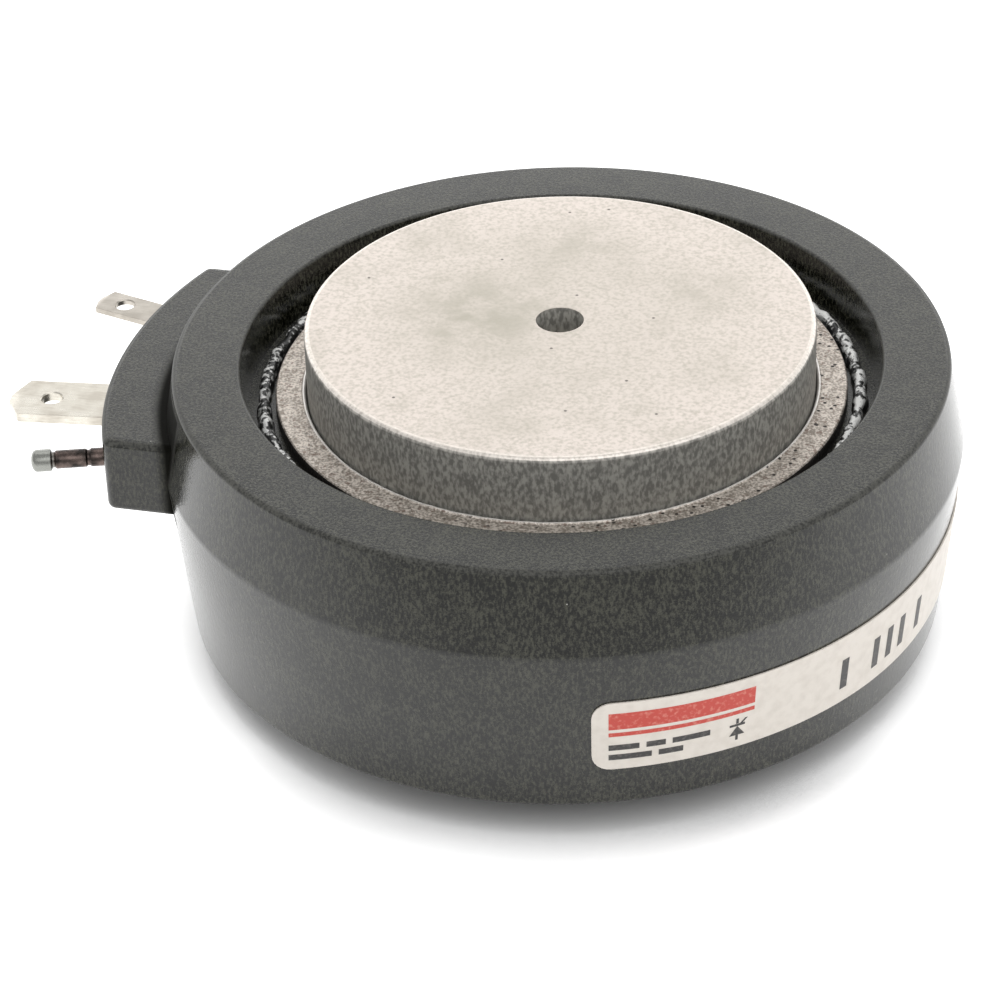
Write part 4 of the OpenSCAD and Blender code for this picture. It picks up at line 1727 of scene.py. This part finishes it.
@dataclass
class Studio:
    """White floor, soft light with a brighter low band behind, and the photograph's camera."""

    layout: Layout
    azimuth: float = math.radians(13.5)
    elevation: float = math.radians(31.353)
    distance: float = 285.71 * MM
    aim_right: float = -4.883 * MM
    aim_drop: float = 13.128 * MM
    roll: float = math.radians(-1.938)
    lens: float = 137.9
    sensor: float = 36.0
    clip: Range = (0.01, 20.0)
    floor_radius: float = 1.6
    floor_sides: int = 96
    floor_white: float = 0.70
    floor_roughness: float = 0.9
    floor_shine: float = 0.1
    floor_fade: Range = (38.0 * MM, 95.0 * MM)
    floor_far_glow: float = 0.10
    shadow_reach: float = 12.0 * MM
    shadow_samples: int = 6
    shadow_open: Range = (0.42, 0.68)
    shadow_front: float = 0.11
    shadow_ahead: Range = (17.0 * MM, 27.0 * MM)
    sky_level: float = 0.68
    band_level: float = 2.0
    band_behind: Range = (-0.85, -0.25)
    band_rise: Range = (math.sin(math.radians(24.0)), math.sin(math.radians(38.0)))

    @property
    def front(self) -> Vector:
        """Level direction from the part towards the camera."""
        return Vector((math.sin(self.azimuth), -math.cos(self.azimuth), 0.0))

    @property
    def right(self) -> Vector:
        """Level direction to the right of the picture."""
        return UP.cross(self.front)

    def camera(self) -> None:
        """Set the camera where the photograph was taken from."""
        rim = UP * self.layout.rim_top
        away = self.front * math.cos(self.elevation) + UP * math.sin(self.elevation)
        eye = rim + away * self.distance
        aim = rim + self.right * self.aim_right - UP * self.aim_drop
        look = (aim - eye).normalized()
        level = look.cross(UP).normalized()
        rise = level.cross(look)
        side = level * math.cos(self.roll) + rise * math.sin(self.roll)
        top = rise * math.cos(self.roll) - level * math.sin(self.roll)
        data = bpy.data.cameras.new("photo_camera")
        data.lens = self.lens
        data.sensor_fit = "HORIZONTAL"
        data.sensor_width = self.sensor
        data.clip_start, data.clip_end = self.clip
        camera = bpy.data.objects.new("photo_camera", data)
        camera.matrix_world = Matrix((
            (side.x, top.x, -look.x, eye.x), (side.y, top.y, -look.y, eye.y),
            (side.z, top.z, -look.z, eye.z), (0.0, 0.0, 0.0, 1.0),
        ))
        bpy.context.scene.collection.objects.link(camera)
        bpy.context.scene.camera = camera

    def floor(self) -> None:
        """Lay the floor, which is white to the eye where nothing shelters it from the light."""
        mesh = bmesh.new()
        bmesh.ops.create_circle(mesh, cap_ends=True, segments=self.floor_sides, radius=self.floor_radius)
        bmesh.ops.translate(mesh, vec=UP * self.layout.lower_face, verts=mesh.verts)
        data = bpy.data.meshes.new("studio_floor")
        mesh.to_mesh(data)
        mesh.free()
        material = bpy.data.materials.new("studio_floor")
        material.use_nodes = True
        graph = Graph(material.node_tree, "Principled BSDF")
        path = graph.node("ShaderNodeLightPath")
        shelter = graph.node("ShaderNodeAmbientOcclusion")
        shelter.samples = self.shadow_samples
        shelter.inputs["Distance"].default_value = self.shadow_reach
        ahead = graph.along(self.front)
        deeper = graph.span(ahead, *self.shadow_ahead, 0.0, self.shadow_front)
        open_sky = graph.rise(graph.less(shelter.outputs["AO"], deeper), self.shadow_open)
        near = graph.span(ahead, *self.floor_fade, 1.0, self.floor_far_glow)
        seen = graph.larger(path.outputs["Is Camera Ray"], path.outputs["Is Transmission Ray"])
        seen = graph.larger(seen, graph.times(path.outputs["Is Glossy Ray"], near))
        graph.shade(
            Base_Color=(self.floor_white, self.floor_white, self.floor_white),
            Roughness=self.floor_roughness,
            Specular_IOR_Level=self.floor_shine,
            Emission_Color=(1.0, 1.0, 1.0),
            Emission_Strength=graph.times(seen, open_sky),
        )
        data.materials.append(material)
        floor = bpy.data.objects.new("studio_floor", data)
        bpy.context.scene.collection.objects.link(floor)

    def sky(self) -> None:
        """Light the room evenly all round, with a brighter low band behind the part."""
        world = bpy.data.worlds.new("studio_sky")
        world.use_nodes = True
        graph = Graph(world.node_tree, "Background", "Generated")
        behind = graph.fall(graph.along(self.front), self.band_behind)
        band = graph.times(behind, graph.fall(graph.along(UP), self.band_rise))
        graph.shade(
            Color=(1.0, 1.0, 1.0),
            Strength=graph.span(band, 0.0, 1.0, self.sky_level, self.band_level),
        )
        bpy.context.scene.world = world

    def lamps(self) -> None:
        """Hang one broad lamp over the part's back and one in front of it, towards the label."""
        for lamp in LAMPS:
            lamp.build(self.front, self.right, UP * self.layout.terminal_level)

    def build(self) -> None:
        """Set up camera, floor, light and the plain view transform."""
        self.camera()
        self.floor()
        self.sky()
        self.lamps()
        bpy.context.scene.view_settings.view_transform = "Standard"


def dress_inner_nodes() -> None:
    """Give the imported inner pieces, which keep their own meshes, their finishes."""
    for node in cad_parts:
        finish = INNER_FINISHES.get(node)
        if finish is None:
            continue
        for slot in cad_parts[node].material_slots:
            slot.material = finish.material()
        LOG.info("dressed inner piece %s with %s", node, finish.name)


def pieces(layout: Layout) -> list[Piece]:
    """List the modelled pieces in building order.

    Args:
        layout: Shared sizes.

    Returns:
        One entry for each piece.
    """
    both_ends = [kind(layout, end=end) for kind in (Pole, Flange, SealBead) for end in End]
    blades = [Blade(layout, terminal=terminal) for terminal in (GATE, CATHODE)]
    prints = [LabelPrint(layout, ink=ink) for ink in (RED_INK, DARK_INK)]
    return [Housing(layout), *both_ends, *blades, VentTube(layout), WrapLabel(layout), *prints]


def main() -> None:
    """Build the studio and every piece, and report each."""
    logging.basicConfig(level=logging.INFO, format="%(message)s")
    layout = Layout.from_frame()
    Studio(layout).build()
    for piece in pieces(layout):
        made = piece.build()
        LOG.info("built %s with %d faces", made.name, len(made.data.polygons))
    dress_inner_nodes()


if __name__ == "__main__":
    main()
